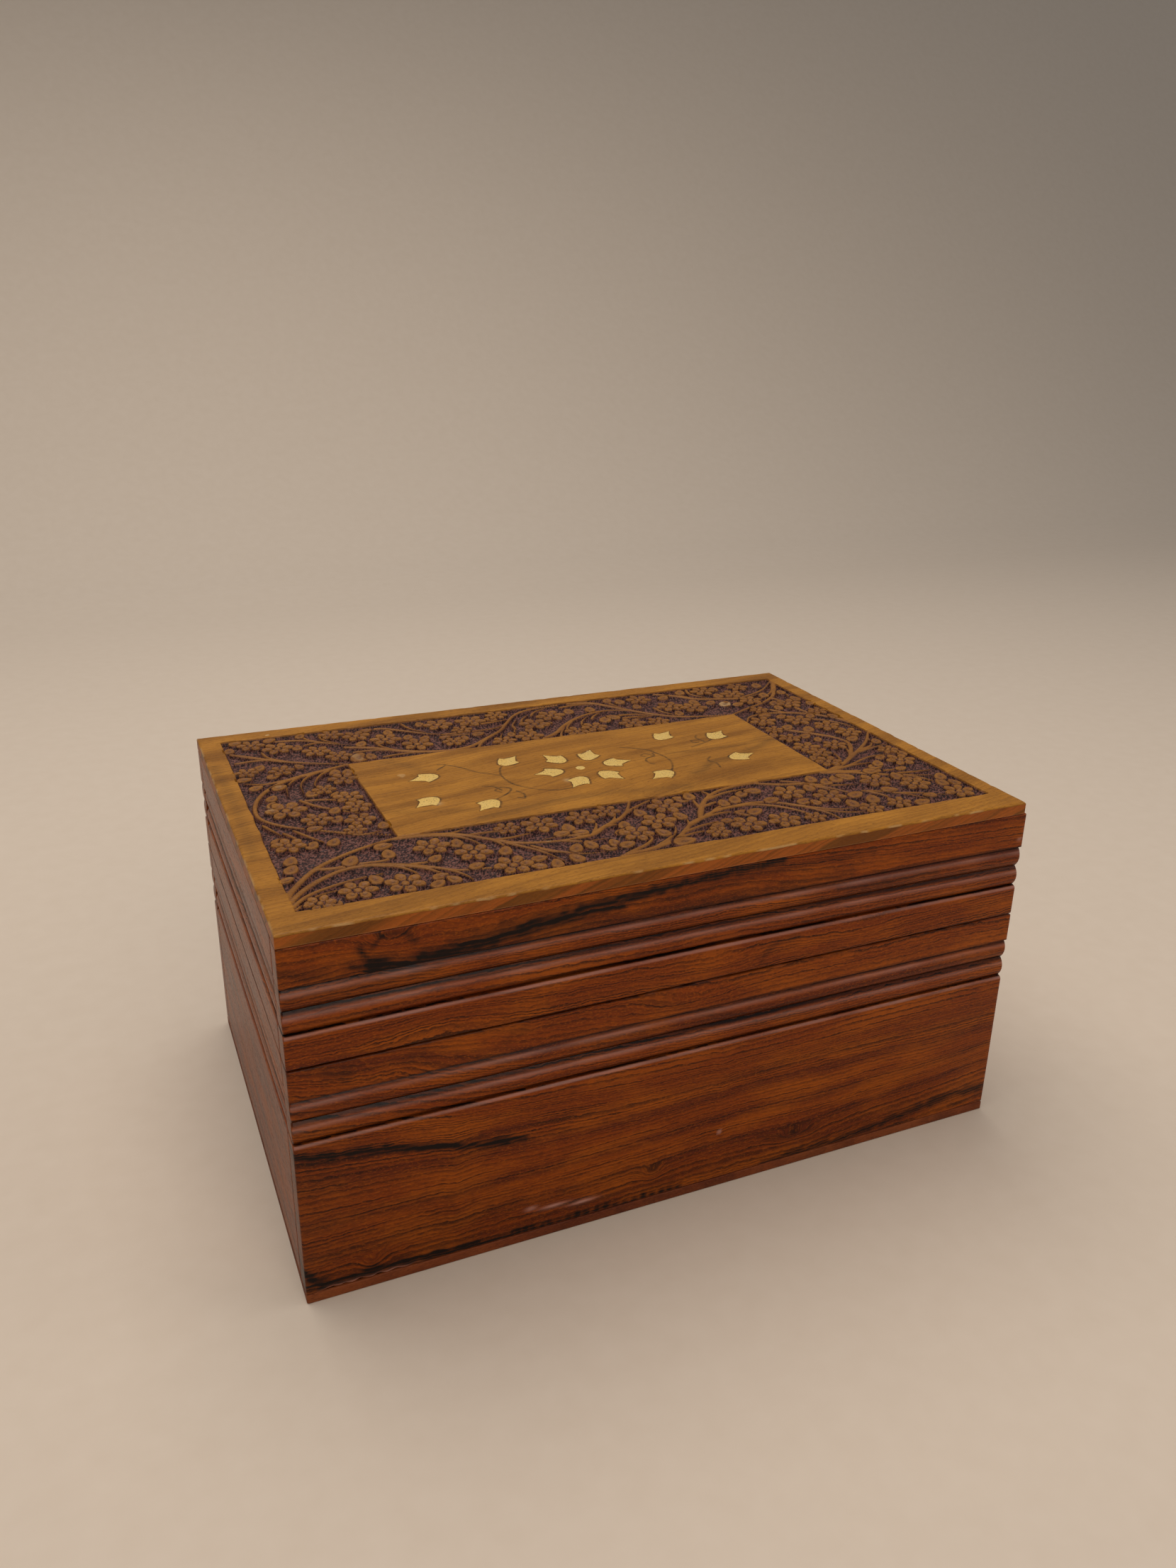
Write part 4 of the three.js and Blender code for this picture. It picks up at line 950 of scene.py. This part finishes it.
# A tile of the board: a closed slab whose top follows the raster, and whose outer edges are
# eased and slightly worn. rounds names the sides that are the board's own outer edges.
lidBoard = dict(radius=0.9, edgeWear=0.35, plaqueStep=0.42, plainStep=0.8)


def boardTile(name, xs, ys, field, h, depth, outer, levels, finish, wired):
    top, under = levels
    x, y = np.meshgrid(xs, ys)
    left, right, front, back = outer
    r = lidBoard["radius"]
    wornAway = lidBoard["edgeWear"] * (0.5 + 0.5 * uneven(x, y, 3.5, 51)) ** 3
    edge = np.minimum(np.minimum(x - left, right - x), np.minimum(y - front, back - y))
    short = np.clip(r - edge, 0, r)
    z = readField(field, h, x, y) - (r - np.sqrt(r ** 2 - short ** 2)) * 0.8 - wornAway * smooth(1.6, 0, edge)
    z = z + 0.05 * uneven(x, y, 22, 52)
    ring, dark, pale = topMarks(x, y)
    ground = readField(field, depth, x, y)
    pale = np.maximum(pale, 0.35 * smooth(0.8, 0.0, edge) * smooth(0.1, 0.6, uneven(x, y, 4, 53)))
    if wired:
        wire = 0 * x
        for points in wires["routes"]:
            wire = np.maximum(wire, nearPath(x, y, points, wires["width"]))
        dark = np.maximum(dark, smooth(0.15, 0.7, wire) * (0.75 + 0.25 * uneven(x, y, 7, 54)))
        for _, cx, cy, turn in inlayPlan["places"]:
            gap = np.abs(outlineGap(x - cx, y - cy, turn) - 0.1)
            dark = np.maximum(dark, 0.8 * smooth(1.0, 0.15, gap + 0.3 * uneven(x, y, 2.2, 55)))
        for cx, cy in ((-14.5, -10.4), (-72.4, -15.2)):
            pale = np.maximum(pale, 0.4 * np.exp(-((x - cx) / 1.5) ** 2 - ((y - cy) / 1.9) ** 2))
    rows, cols = x.shape
    places = np.stack([x, y, top + z], -1).reshape(-1, 3)
    extra = dict(
        wood=np.stack([x, ring, z], -1).reshape(-1, 3),
        marks=np.stack([dark, pale, ground], -1).reshape(-1, 3),
    )
    rim = np.concatenate([np.arange(cols), np.arange(1, rows) * cols + cols - 1,
                          (rows - 1) * cols + np.arange(cols - 2, -1, -1), np.arange(rows - 2, 0, -1) * cols])
    quads, start, above = [gridQuads(rows, cols)], len(places), rim
    newPlaces, newExtra = [places], {key: [values] for key, values in extra.items()}
    for level in (0.04, 0.45, 0.9, 1.0):  # skirts: just below the rim, down the edge, and the underside
        skirt = places[rim].copy()
        skirt[:, 2] = skirt[:, 2] * (1 - level) + under * level
        index = start + np.arange(len(rim))
        quads.append(np.stack([above, index, np.roll(index, -1), np.roll(above, -1)], 1))
        newPlaces.append(skirt)
        for key in extra:
            side = extra[key][rim].copy()
            if key == "wood":
                side[:, 1] += (skirt[:, 2] - places[rim][:, 2]) * 1.1 - 0.28 * skirt[:, 0]
                side[:, 2] = skirt[:, 2] - top
            else:
                side[:, 1] = 0.55 * (level == 1)
                side[:, 2] = -1
            newExtra[key].append(side)
        above, start = index, start + len(rim)
    newPlaces.append(np.array([[x.mean(), y.mean(), under]]))
    for key in extra:
        newExtra[key].append(extra[key].mean(0)[None])
    tris = np.stack([above, np.full(len(rim), start), np.roll(above, -1)], 1)
    extra = {key: np.vstack(values) for key, values in newExtra.items()}
    return makePiece(
        name, np.vstack(newPlaces), np.vstack(quads), tris, "lid", finish, ("lid_top_board",),
        extra, crease=50,
    )


inlayPlan = dict(
    rise=0.06, crown=0.07, thick=1.2, bevel=0.12,
    # tip, notch, side tip, shoulder and heel of one plate, from its middle, pointing along +X
    outline=[
        (6.8, 0), (4.4, 0.9), (2.2, 2.2), (0.9, 3.0), (0.6, 4.1), (0.3, 5.1), (-2.2, 4.3), (-4.6, 3.1),
        (-6.1, 1.9), (-6.7, 0),
    ],
    places=[
        ("inlay_petal_east", 14.3, 1.9, 0), ("inlay_petal_northeast", 6.0, 14.8, 61),
        ("inlay_petal_northwest", -10.2, 15.8, 117), ("inlay_petal_west", -18.5, 0.6, 180),
        ("inlay_petal_southwest", -10.9, -14.0, 227), ("inlay_petal_southeast", 5.4, -11.8, 299),
        ("inlay_leaf_a", -29.6, 20.6, 42), ("inlay_leaf_b", 25.8, -19.2, 207),
        ("inlay_leaf_c", 49.2, 26.3, 41), ("inlay_leaf_d", 73.0, 18.3, 41),
        ("inlay_leaf_e", 69.8, -11.0, 10), ("inlay_leaf_f", -70.1, 13.7, 191),
        ("inlay_leaf_g", -76.4, -12.6, 215), ("inlay_leaf_h", -54.5, -24.3, 222),
    ],
    dot=(-3.7, 1.1, 2.1),
)


# the plate's edge as radius against angle, straight between the outline's points
def outlineRadius(angle):
    points = np.array(inlayPlan["outline"], float)
    points = np.vstack([points, points[-2:0:-1] * (1, -1)])
    fine = np.vstack([points + (np.roll(points, -1, 0) - points) * t for t in np.linspace(0, 1, 12)[:-1]])
    bearing = np.mod(np.arctan2(fine[:, 1], fine[:, 0]), 2 * np.pi)
    order = np.argsort(bearing)
    return np.interp(
        np.mod(angle, 2 * np.pi), bearing[order], np.hypot(fine[:, 0], fine[:, 1])[order], period=2 * np.pi,
    )


def outlineGap(x, y, turn):
    angle = np.arctan2(y, x) - math.radians(turn)
    return np.hypot(x, y) - outlineRadius(angle)


# a plate: rings of the outline shrunk towards the middle, rising to a slight crown 1 - t^2
def inlayPlate(node, cx, cy, turn, radius, finish, top):
    plan = inlayPlan
    around = 96
    angle = np.arange(around) / around * 2 * np.pi
    seed = int(abs(cx * 7 + cy * 13)) % 90
    wobble = 1 + 0.022 * uneven(3 * np.cos(angle) + cx, 3 * np.sin(angle) + cy, 0.8, seed)
    reach = (outlineRadius(angle) if radius is None else np.full(around, radius)) * wobble * 0.985
    share = np.array([1, 1, 0.975, 0.9, 0.75, 0.5, 0.25])[:, None]
    lift = np.array([-plan["thick"], plan["rise"] - plan["bevel"], plan["rise"], 0, 0, 0, 0])
    lift[3:] = plan["rise"] + plan["crown"] * (1 - share[3:, 0] ** 2)
    a = angle[None, :] + math.radians(turn)
    x, y = cx + reach * share * np.cos(a), cy + reach * share * np.sin(a)
    dents = 0.035 * uneven(x, y, 1.1, seed + 1) * (share < 0.97)
    places = np.stack([x, y, top + lift[:, None] + dents], -1).reshape(-1, 3)
    rows = len(share)
    places = np.vstack(
        [places, [[cx, cy, top + plan["rise"] + plan["crown"]], [cx, cy, top - plan["thick"]]]]
    )
    last = (rows - 1) * around + np.arange(around)
    first = np.arange(around)
    tris = np.vstack([np.stack([last, np.roll(last, -1), np.full(around, rows * around)], 1),
                      np.stack([np.roll(first, -1), first, np.full(around, rows * around + 1)], 1)])
    makePiece(
        node + "_plate", places, gridQuads(rows, around, closed=True), tris, "lid", finish,
        (node,), crease=30,
    )


# Sheet brass, sawn out by hand and filed flush: pale gold, scratched, with dark pits
def brassFinish(name, colour, tarnish, rough, pitMm, pitShare):
    material, tree = emptyMaterial(name)
    place = addNode(tree, "TexCoord").outputs["Object"]
    pits = addNode(
        tree, "TexNoise", {"Vector": place, "Scale": 1 / (pitMm * mm), "Detail": 2.0, "Roughness": 0.6},
    )
    pit = addNode(tree, "MapRange", {"Value": pits, "From Min": 0.56, "From Max": 0.68})
    cloud = addNode(tree, "TexNoise", {"Vector": place, "Scale": 1 / (4 * mm), "Detail": 3.0})
    mix = addNode(tree, "Mix", {"Factor": cloud, 6: colour, 7: tarnish}, data_type="RGBA")
    amount = addNode(tree, "Math", {0: pit, 1: pitShare}, operation="MULTIPLY")
    spotted = addNode(tree, "Mix", {"Factor": amount, 6: mix, 7: "#5b3f1a"}, data_type="RGBA")
    sunk = addNode(tree, "Math", {0: pit, 1: -1.0}, operation="MULTIPLY")
    bump = addNode(tree, "Bump", {"Height": sunk, "Strength": 0.5, "Distance": 0.12 * mm})
    roughness = addNode(tree, "Math", {0: cloud, 1: 0.25, 2: rough - 0.1}, operation="MULTIPLY_ADD")
    shader = addNode(
        tree, "BsdfPrincipled",
        {"Base Color": spotted, "Metallic": 0.5, "Roughness": roughness, "Normal": bump},
    )
    addNode(tree, "OutputMaterial", {0: shader})
    return material


def makeLidBoard():
    low, high = boxMm("lid_top_board")
    halfField = -low[0] - carving["frameSide"]
    front, back = low[1] + carving["frameFront"], high[1] - carving["frameBack"]
    u, v, h, depth = carveField(halfField, front, back)
    field = (u, v)
    outer = (low[0], high[0], low[1], high[1])
    lap, step, plain = carving["lap"], carving["step"], lidBoard["plainStep"]
    fieldX = (-halfField - lap, halfField + lap)
    fieldY = (front - lap, back + lap)
    plaqueX = halfField - carving["band"] - lap / 2
    plaqueY = (front + carving["band"] + lap / 2, back - carving["band"] - lap / 2)

    def even(a, b, pitch):
        return np.linspace(a, b, int(round((b - a) / pitch)) + 1)

    easing = lidBoard["radius"] * np.array([0, 0.06, 0.2, 0.45, 0.75, 1.1])
    bandX, bandFront, bandBack = even(*fieldX, step), even(
        fieldY[0], plaqueY[0], step,
    ), even(plaqueY[1], fieldY[1], step)
    middle = len(bandX) // 2
    # the side tiles share their end rows with the band tiles, so their columns are the same
    leftX = bandX[bandX <= -plaqueX + 1e-6]
    rightX = bandX[bandX >= plaqueX - 1e-6]
    sideY = even(plaqueY[0], plaqueY[1], step)
    plaqueCols = np.concatenate(
        [[leftX[-1]], even(leftX[-1], rightX[0], lidBoard["plaqueStep"])[1:-1], [rightX[0]]]
    )
    outX = np.concatenate([low[0] + easing, even(low[0] + 1.4, high[0] - 1.4, plain), high[0] - easing[::-1]])
    sideFrameY = even(fieldY[0], fieldY[1], plain)
    tiles = dict(
        band_front_left=(bandX[:middle + 1], bandFront), band_front_right=(bandX[middle:], bandFront),
        band_back_left=(bandX[:middle + 1], bandBack), band_back_right=(bandX[middle:], bandBack),
        band_left=(leftX, sideY), band_right=(rightX, sideY),
        plaque=(plaqueCols, even(plaqueY[0], plaqueY[1], lidBoard["plaqueStep"])),
        frame_front=(outX, np.concatenate([low[1] + easing, even(low[1] + 1.4, fieldY[0], plain)])),
        frame_back=(outX, np.concatenate([even(fieldY[1], high[1] - 1.4, plain), high[1] - easing[::-1]])),
        frame_left=(np.concatenate([low[0] + easing, even(low[0] + 1.4, fieldX[0], plain)]), sideFrameY),
        frame_right=(
            np.concatenate([even(fieldX[1], high[0] - 1.4, plain), high[0] - easing[::-1]]), sideFrameY,
        ),
    )
    for name, (xs, ys) in tiles.items():
        levels = (high[2], low[2])
        boardTile("lid_board_" + name, xs, ys, field, h, depth, outer, levels, topFinish, name == "plaque")
    for node, cx, cy, turn in inlayPlan["places"]:
        inlayPlate(node, cx, cy, turn, None, inlayFinish, high[2])
    cx, cy, radius = inlayPlan["dot"]
    inlayPlate("inlay_centre_dot", cx, cy, 0, radius, inlayFinish, high[2])


# the ground of the carving: stained dark purple brown, with a stipple about 1 mm apart
carvedLook = dict(
    groundDark="#241212", groundLight="#6f473d", tops="#744820", edge="#a04c18", groundRough=0.5,
    stippleMm=0.8, biteMm=0.3,
)
topFinish = woodFinish(topLook, carvedLook)
inlayFinish = brassFinish("sheetBrassFiled", "#f0cf7e", "#d8ac50", 0.45, 0.7, 0.7)
makeLidBoard()
print("lid board carved and inlaid")


# a board with eased edges: the rounded rectangle of its plan lofted up, inset by the ease at both rims
def easedBoard(node, body, finish, ease=0.4, step=4.0, seed=1, chips=()):
    low, high = boxMm(node)
    size, middle = high - low, (low + high) / 2
    turned = size[1] > size[0]
    half, thick = (size[1] / 2, size[0]) if turned else (size[0] / 2, size[1])
    outline = sectionOutline(half, thick, step, 4 if thick < 30 else 30)
    rises = ease * np.array([0, 0.15, 0.45, 1])
    inner = np.linspace(low[2] + ease, high[2] - ease, max(2, int(size[2] / 3)))[1:-1]
    levels = np.concatenate([low[2] + rises, inner, (high[2] - rises)[::-1]])
    level, x0 = np.meshgrid(levels, outline[:, 0], indexing="ij")
    y0 = np.broadcast_to(outline[:, 1], x0.shape) - thick / 2
    edge = np.minimum(level - low[2], high[2] - level)
    inset = ease - np.sqrt(ease ** 2 - np.clip(ease - edge, 0, ease) ** 2)
    x = x0 * (1 - inset / half)
    y = y0 * (1 - 2 * inset / thick)
    z = level + 0.04 * uneven(x0, y0, 19, seed) * smooth(0, ease, edge)
    for cx, reach, depth in chips:
        y = y + depth * np.exp(-((x - cx) / reach) ** 2) * (y0 < -thick / 2 + 1) * smooth(
            0, 1, (level - low[2]) / size[2],
        )
    flat = thick > size[2]
    ring = (y if flat else z) * 0.95 + 0.06 * x + 4 * uneven(x, y, 45, seed) + seed * 9
    wood = np.stack([x, ring, (z if flat else y) + seed * 7], -1).reshape(-1, 3)
    px, py = (y, x) if turned else (x, y)
    if turned:
        px = -px
    places = np.stack([px + middle[0], py + middle[1], z], -1).reshape(-1, 3)
    rows, cols = level.shape
    marks = np.zeros_like(places)
    return finishLoft(
        node + "_board", places, rows, cols, body, finish, (node,), dict(wood=wood, marks=marks),
    )


# Cotton velvet glued over card and wadding: deep red, dull face-on and bright along its edges
def velvetFinish():
    material, tree = emptyMaterial("cottonVelvetGlued")
    place = addNode(tree, "TexCoord").outputs["Object"]
    # the pile is drawn coarser than it is
    pile = addNode(tree, "TexNoise", {"Vector": place, "Scale": 1 / (0.7 * mm), "Detail": 2.0})
    nap = addNode(tree, "TexNoise", {"Vector": place, "Scale": 1 / (24 * mm), "Detail": 3.0})
    brushed = addNode(tree, "MapRange", {"Value": nap, "From Min": 0.2, "From Max": 0.8})
    colour = addNode(tree, "Mix", {"Factor": brushed, 6: "#4d0716", 7: "#7a1228"}, data_type="RGBA")
    colour = addNode(tree, "Mix", {"Factor": pile, 6: colour, 7: "#35040e"}, data_type="RGBA")
    bump = addNode(tree, "Bump", {"Height": pile, "Strength": 0.5, "Distance": 0.3 * mm})
    shader = addNode(tree, "BsdfPrincipled", {
        "Base Color": colour, "Roughness": 0.9, "Normal": bump, "Sheen Weight": 0.6, "Sheen Roughness": 0.35,
        "Sheen Tint": "#c4566c", "Specular IOR Level": 0.1,
    })
    addNode(tree, "OutputMaterial", {0: shader})
    return material


# a stuffed pad: height rises with (1 - u^4)(1 - v^4) to its crown, and the sides pull in between corners
pad = dict(crown=1.6, pull=0.5, across=44, fill=0.7)


def stuffedPad(node, body, finish, seed):
    low, high = boxMm(node)
    size, middle = high - low, (low + high) / 2
    lineU = np.sin(np.linspace(-np.pi / 2, np.pi / 2, pad["across"]))
    u, v = np.meshgrid(lineU, lineU)
    bulge = (1 - u ** 4) * (1 - v ** 4)
    side = size[2] - pad["crown"]
    z = low[2] + side * (
        0.35 + 0.65 * smooth(0, 0.35, bulge)
    ) + pad["crown"] * bulge ** 0.5 + 0.12 * uneven(u, v, 0.35, seed)
    x = middle[0] + u * (size[0] / 2 - pad["pull"] * (1 - v ** 2))
    y = middle[1] + v * (size[1] / 2 - pad["pull"] * (1 - u ** 2))
    places = np.stack([x, y, z], -1).reshape(-1, 3)
    n = pad["across"]
    rim = np.concatenate(
        [
            np.arange(n), np.arange(1, n) * n + n - 1, (n - 1) * n + np.arange(n - 2, -1, -1),
            np.arange(n - 2, 0, -1) * n,
        ]
    )
    foot = places[rim].copy()
    foot[:, 2] = low[2]
    below = len(places) + np.arange(len(rim))
    centre = len(places) + len(rim)
    quads = np.vstack([gridQuads(n, n), np.stack([rim, below, np.roll(below, -1), np.roll(rim, -1)], 1)])
    tris = np.stack([below, np.full(len(rim), centre), np.roll(below, -1)], 1)
    places = np.vstack([places, foot, [[middle[0], middle[1], low[2]]]])
    piece = makePiece(node + "_cushion", places, quads, tris, body, finish, (node,), crease=70)
    return piece


# ring roll: four half-round rolls side by side, z = base + r |sin| across each, carried along X
ringRoll = dict(count=4, across=18, along=90, fill=0.8)


def makeRingRoll(node, finish):
    low, high = boxMm(node)
    count, across = ringRoll["count"], ringRoll["across"]
    width = (high[1] - low[1]) / count
    base = high[2] - width / 2
    turn = np.linspace(0, np.pi, across)
    y = np.concatenate([low[1] + width * (k + 0.5) - width / 2 * np.cos(turn) for k in range(count)])
    z = np.concatenate([base + width / 2 * (np.sin(turn) ** 0.9) for k in range(count)])
    y = np.concatenate([[low[1]], y, [high[1], high[1], low[1]]])
    z = np.concatenate([[low[2] + 0.01], z, [low[2] + 0.01, low[2], low[2]]])
    y[1:-3] += 1e-3 * np.arange(len(y) - 4)  # keeps neighbouring rolls' edges apart
    xs = (low[0] + high[0]) / 2 + (high[0] - low[0]) / 2 * np.sin(
        np.linspace(-np.pi / 2, np.pi / 2, ringRoll["along"])
    )
    share = np.abs(xs - (low[0] + high[0]) / 2) / ((high[0] - low[0]) / 2)
    swell = 1 - 0.12 * smooth(0.97, 1.0, share)
    x2, y2 = np.meshgrid(xs, y, indexing="ij")
    z2 = low[2] + (z[None, :] - low[2]) * swell[:, None] + 0.12 * uneven(x2, y2, 9, 71) * (z[None, :] > base)
    places = np.stack([x2, y2, z2], -1).reshape(-1, 3)
    rows, cols = x2.shape
    centres = np.array([[xs[0], y.mean(), low[2] + 3], [xs[-1], y.mean(), low[2] + 3]])
    first, last = np.arange(cols), (rows - 1) * cols + np.arange(cols)
    tris = np.vstack([np.stack([np.roll(first, -1), first, np.full(cols, rows * cols)], 1),
                      np.stack([last, np.roll(last, -1), np.full(cols, rows * cols + 1)], 1)])
    quads = gridQuads(rows, cols, closed=True)
    piece = makePiece(
        node + "_cushion", np.vstack([places, centres]), quads[:, ::-1], tris[:, ::-1], "tray", finish,
        (node,), crease=80,
    )
    return piece


trayLook = dict(wallLook, name="rosewoodTrayPolished", lineShare=0.45, coat=0.1)
velvet = velvetFinish()
plainFinish = woodFinish(plainLook)
trayFinish = woodFinish(trayLook)
hingeFinish = brassFinish("rolledBrassHinge", "#c9a35a", "#8f6a30", 0.38, 0.9, 0.5)
easedBoard("bottom_board", "base", plainFinish, ease=0.5, step=1.6, seed=3,
           chips=[(-147, 3, 0.5), (-120, 6, 0.3), (-60, 3, 0.2), (40, 4, 0.3), (148, 2, 0.4)])
for side in ("left", "right"):
    easedBoard("tray_ledge_" + side, "base", plainFinish, seed=5)
    easedBoard("tray_short_divider_" + side, "tray", trayFinish, seed=8)
for index, side in enumerate(("front", "back", "left", "right")):
    easedBoard("base_" + side + "_lining", "base", velvet, ease=0.5, seed=31 + index)
    easedBoard("tray_" + side + "_wall", "tray", trayFinish, ease=0.9, seed=41 + index)
easedBoard("tray_long_divider", "tray", trayFinish, ease=0.9, seed=47)
easedBoard("tray_floor", "tray", plainFinish, seed=51)
easedBoard("base_floor_lining", "base", velvet, ease=0.6, seed=61)
easedBoard("lid_lining", "lid", velvet, ease=0.7, seed=62)
for index, cell in enumerate(("left", "middle", "right")):
    stuffedPad("tray_pad_" + cell, "tray", velvet, 81 + index)
makeRingRoll("tray_ring_roll", velvet)
for node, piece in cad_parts.items():
    if node.startswith("hinge"):
        piece.data.materials.clear()
        piece.data.materials.append(hingeFinish)
print("linings, tray and hinges finished")


# a pale sheet that lies flat, then curves up behind: height = rise * s^2 (3 - 2 s) past the bend
def makeFloor():
    wide = np.linspace(-floor["half"], floor["half"], floor["steps"][0]) / mm
    deep = np.linspace(-floor["half"], floor["back"] + 1.5, floor["steps"][1]) / mm
    x, y = np.meshgrid(wide, deep)
    z = floor["rise"] / mm * smooth(floor["bend"] / mm * 2, floor["back"] / mm + 1200, y)
    places = np.stack([x, y, z], -1).reshape(-1, 3)
    material, tree = emptyMaterial("paperSheetMatt")
    place = addNode(tree, "TexCoord").outputs["Object"]
    fibre = addNode(tree, "TexNoise", {"Vector": place, "Scale": 90.0, "Detail": 3.0})
    colour = addNode(tree, "Mix", {"Factor": fibre, 6: "#cdbdab", 7: "#d3c4b3"}, data_type="RGBA")
    shader = addNode(
        tree, "BsdfPrincipled", {"Base Color": colour, "Roughness": 0.8, "Specular IOR Level": 0.2},
    )
    addNode(tree, "OutputMaterial", {0: shader})
    makePiece("floorSheet", places, gridQuads(*x.shape), [], None, material)


makeFloor()
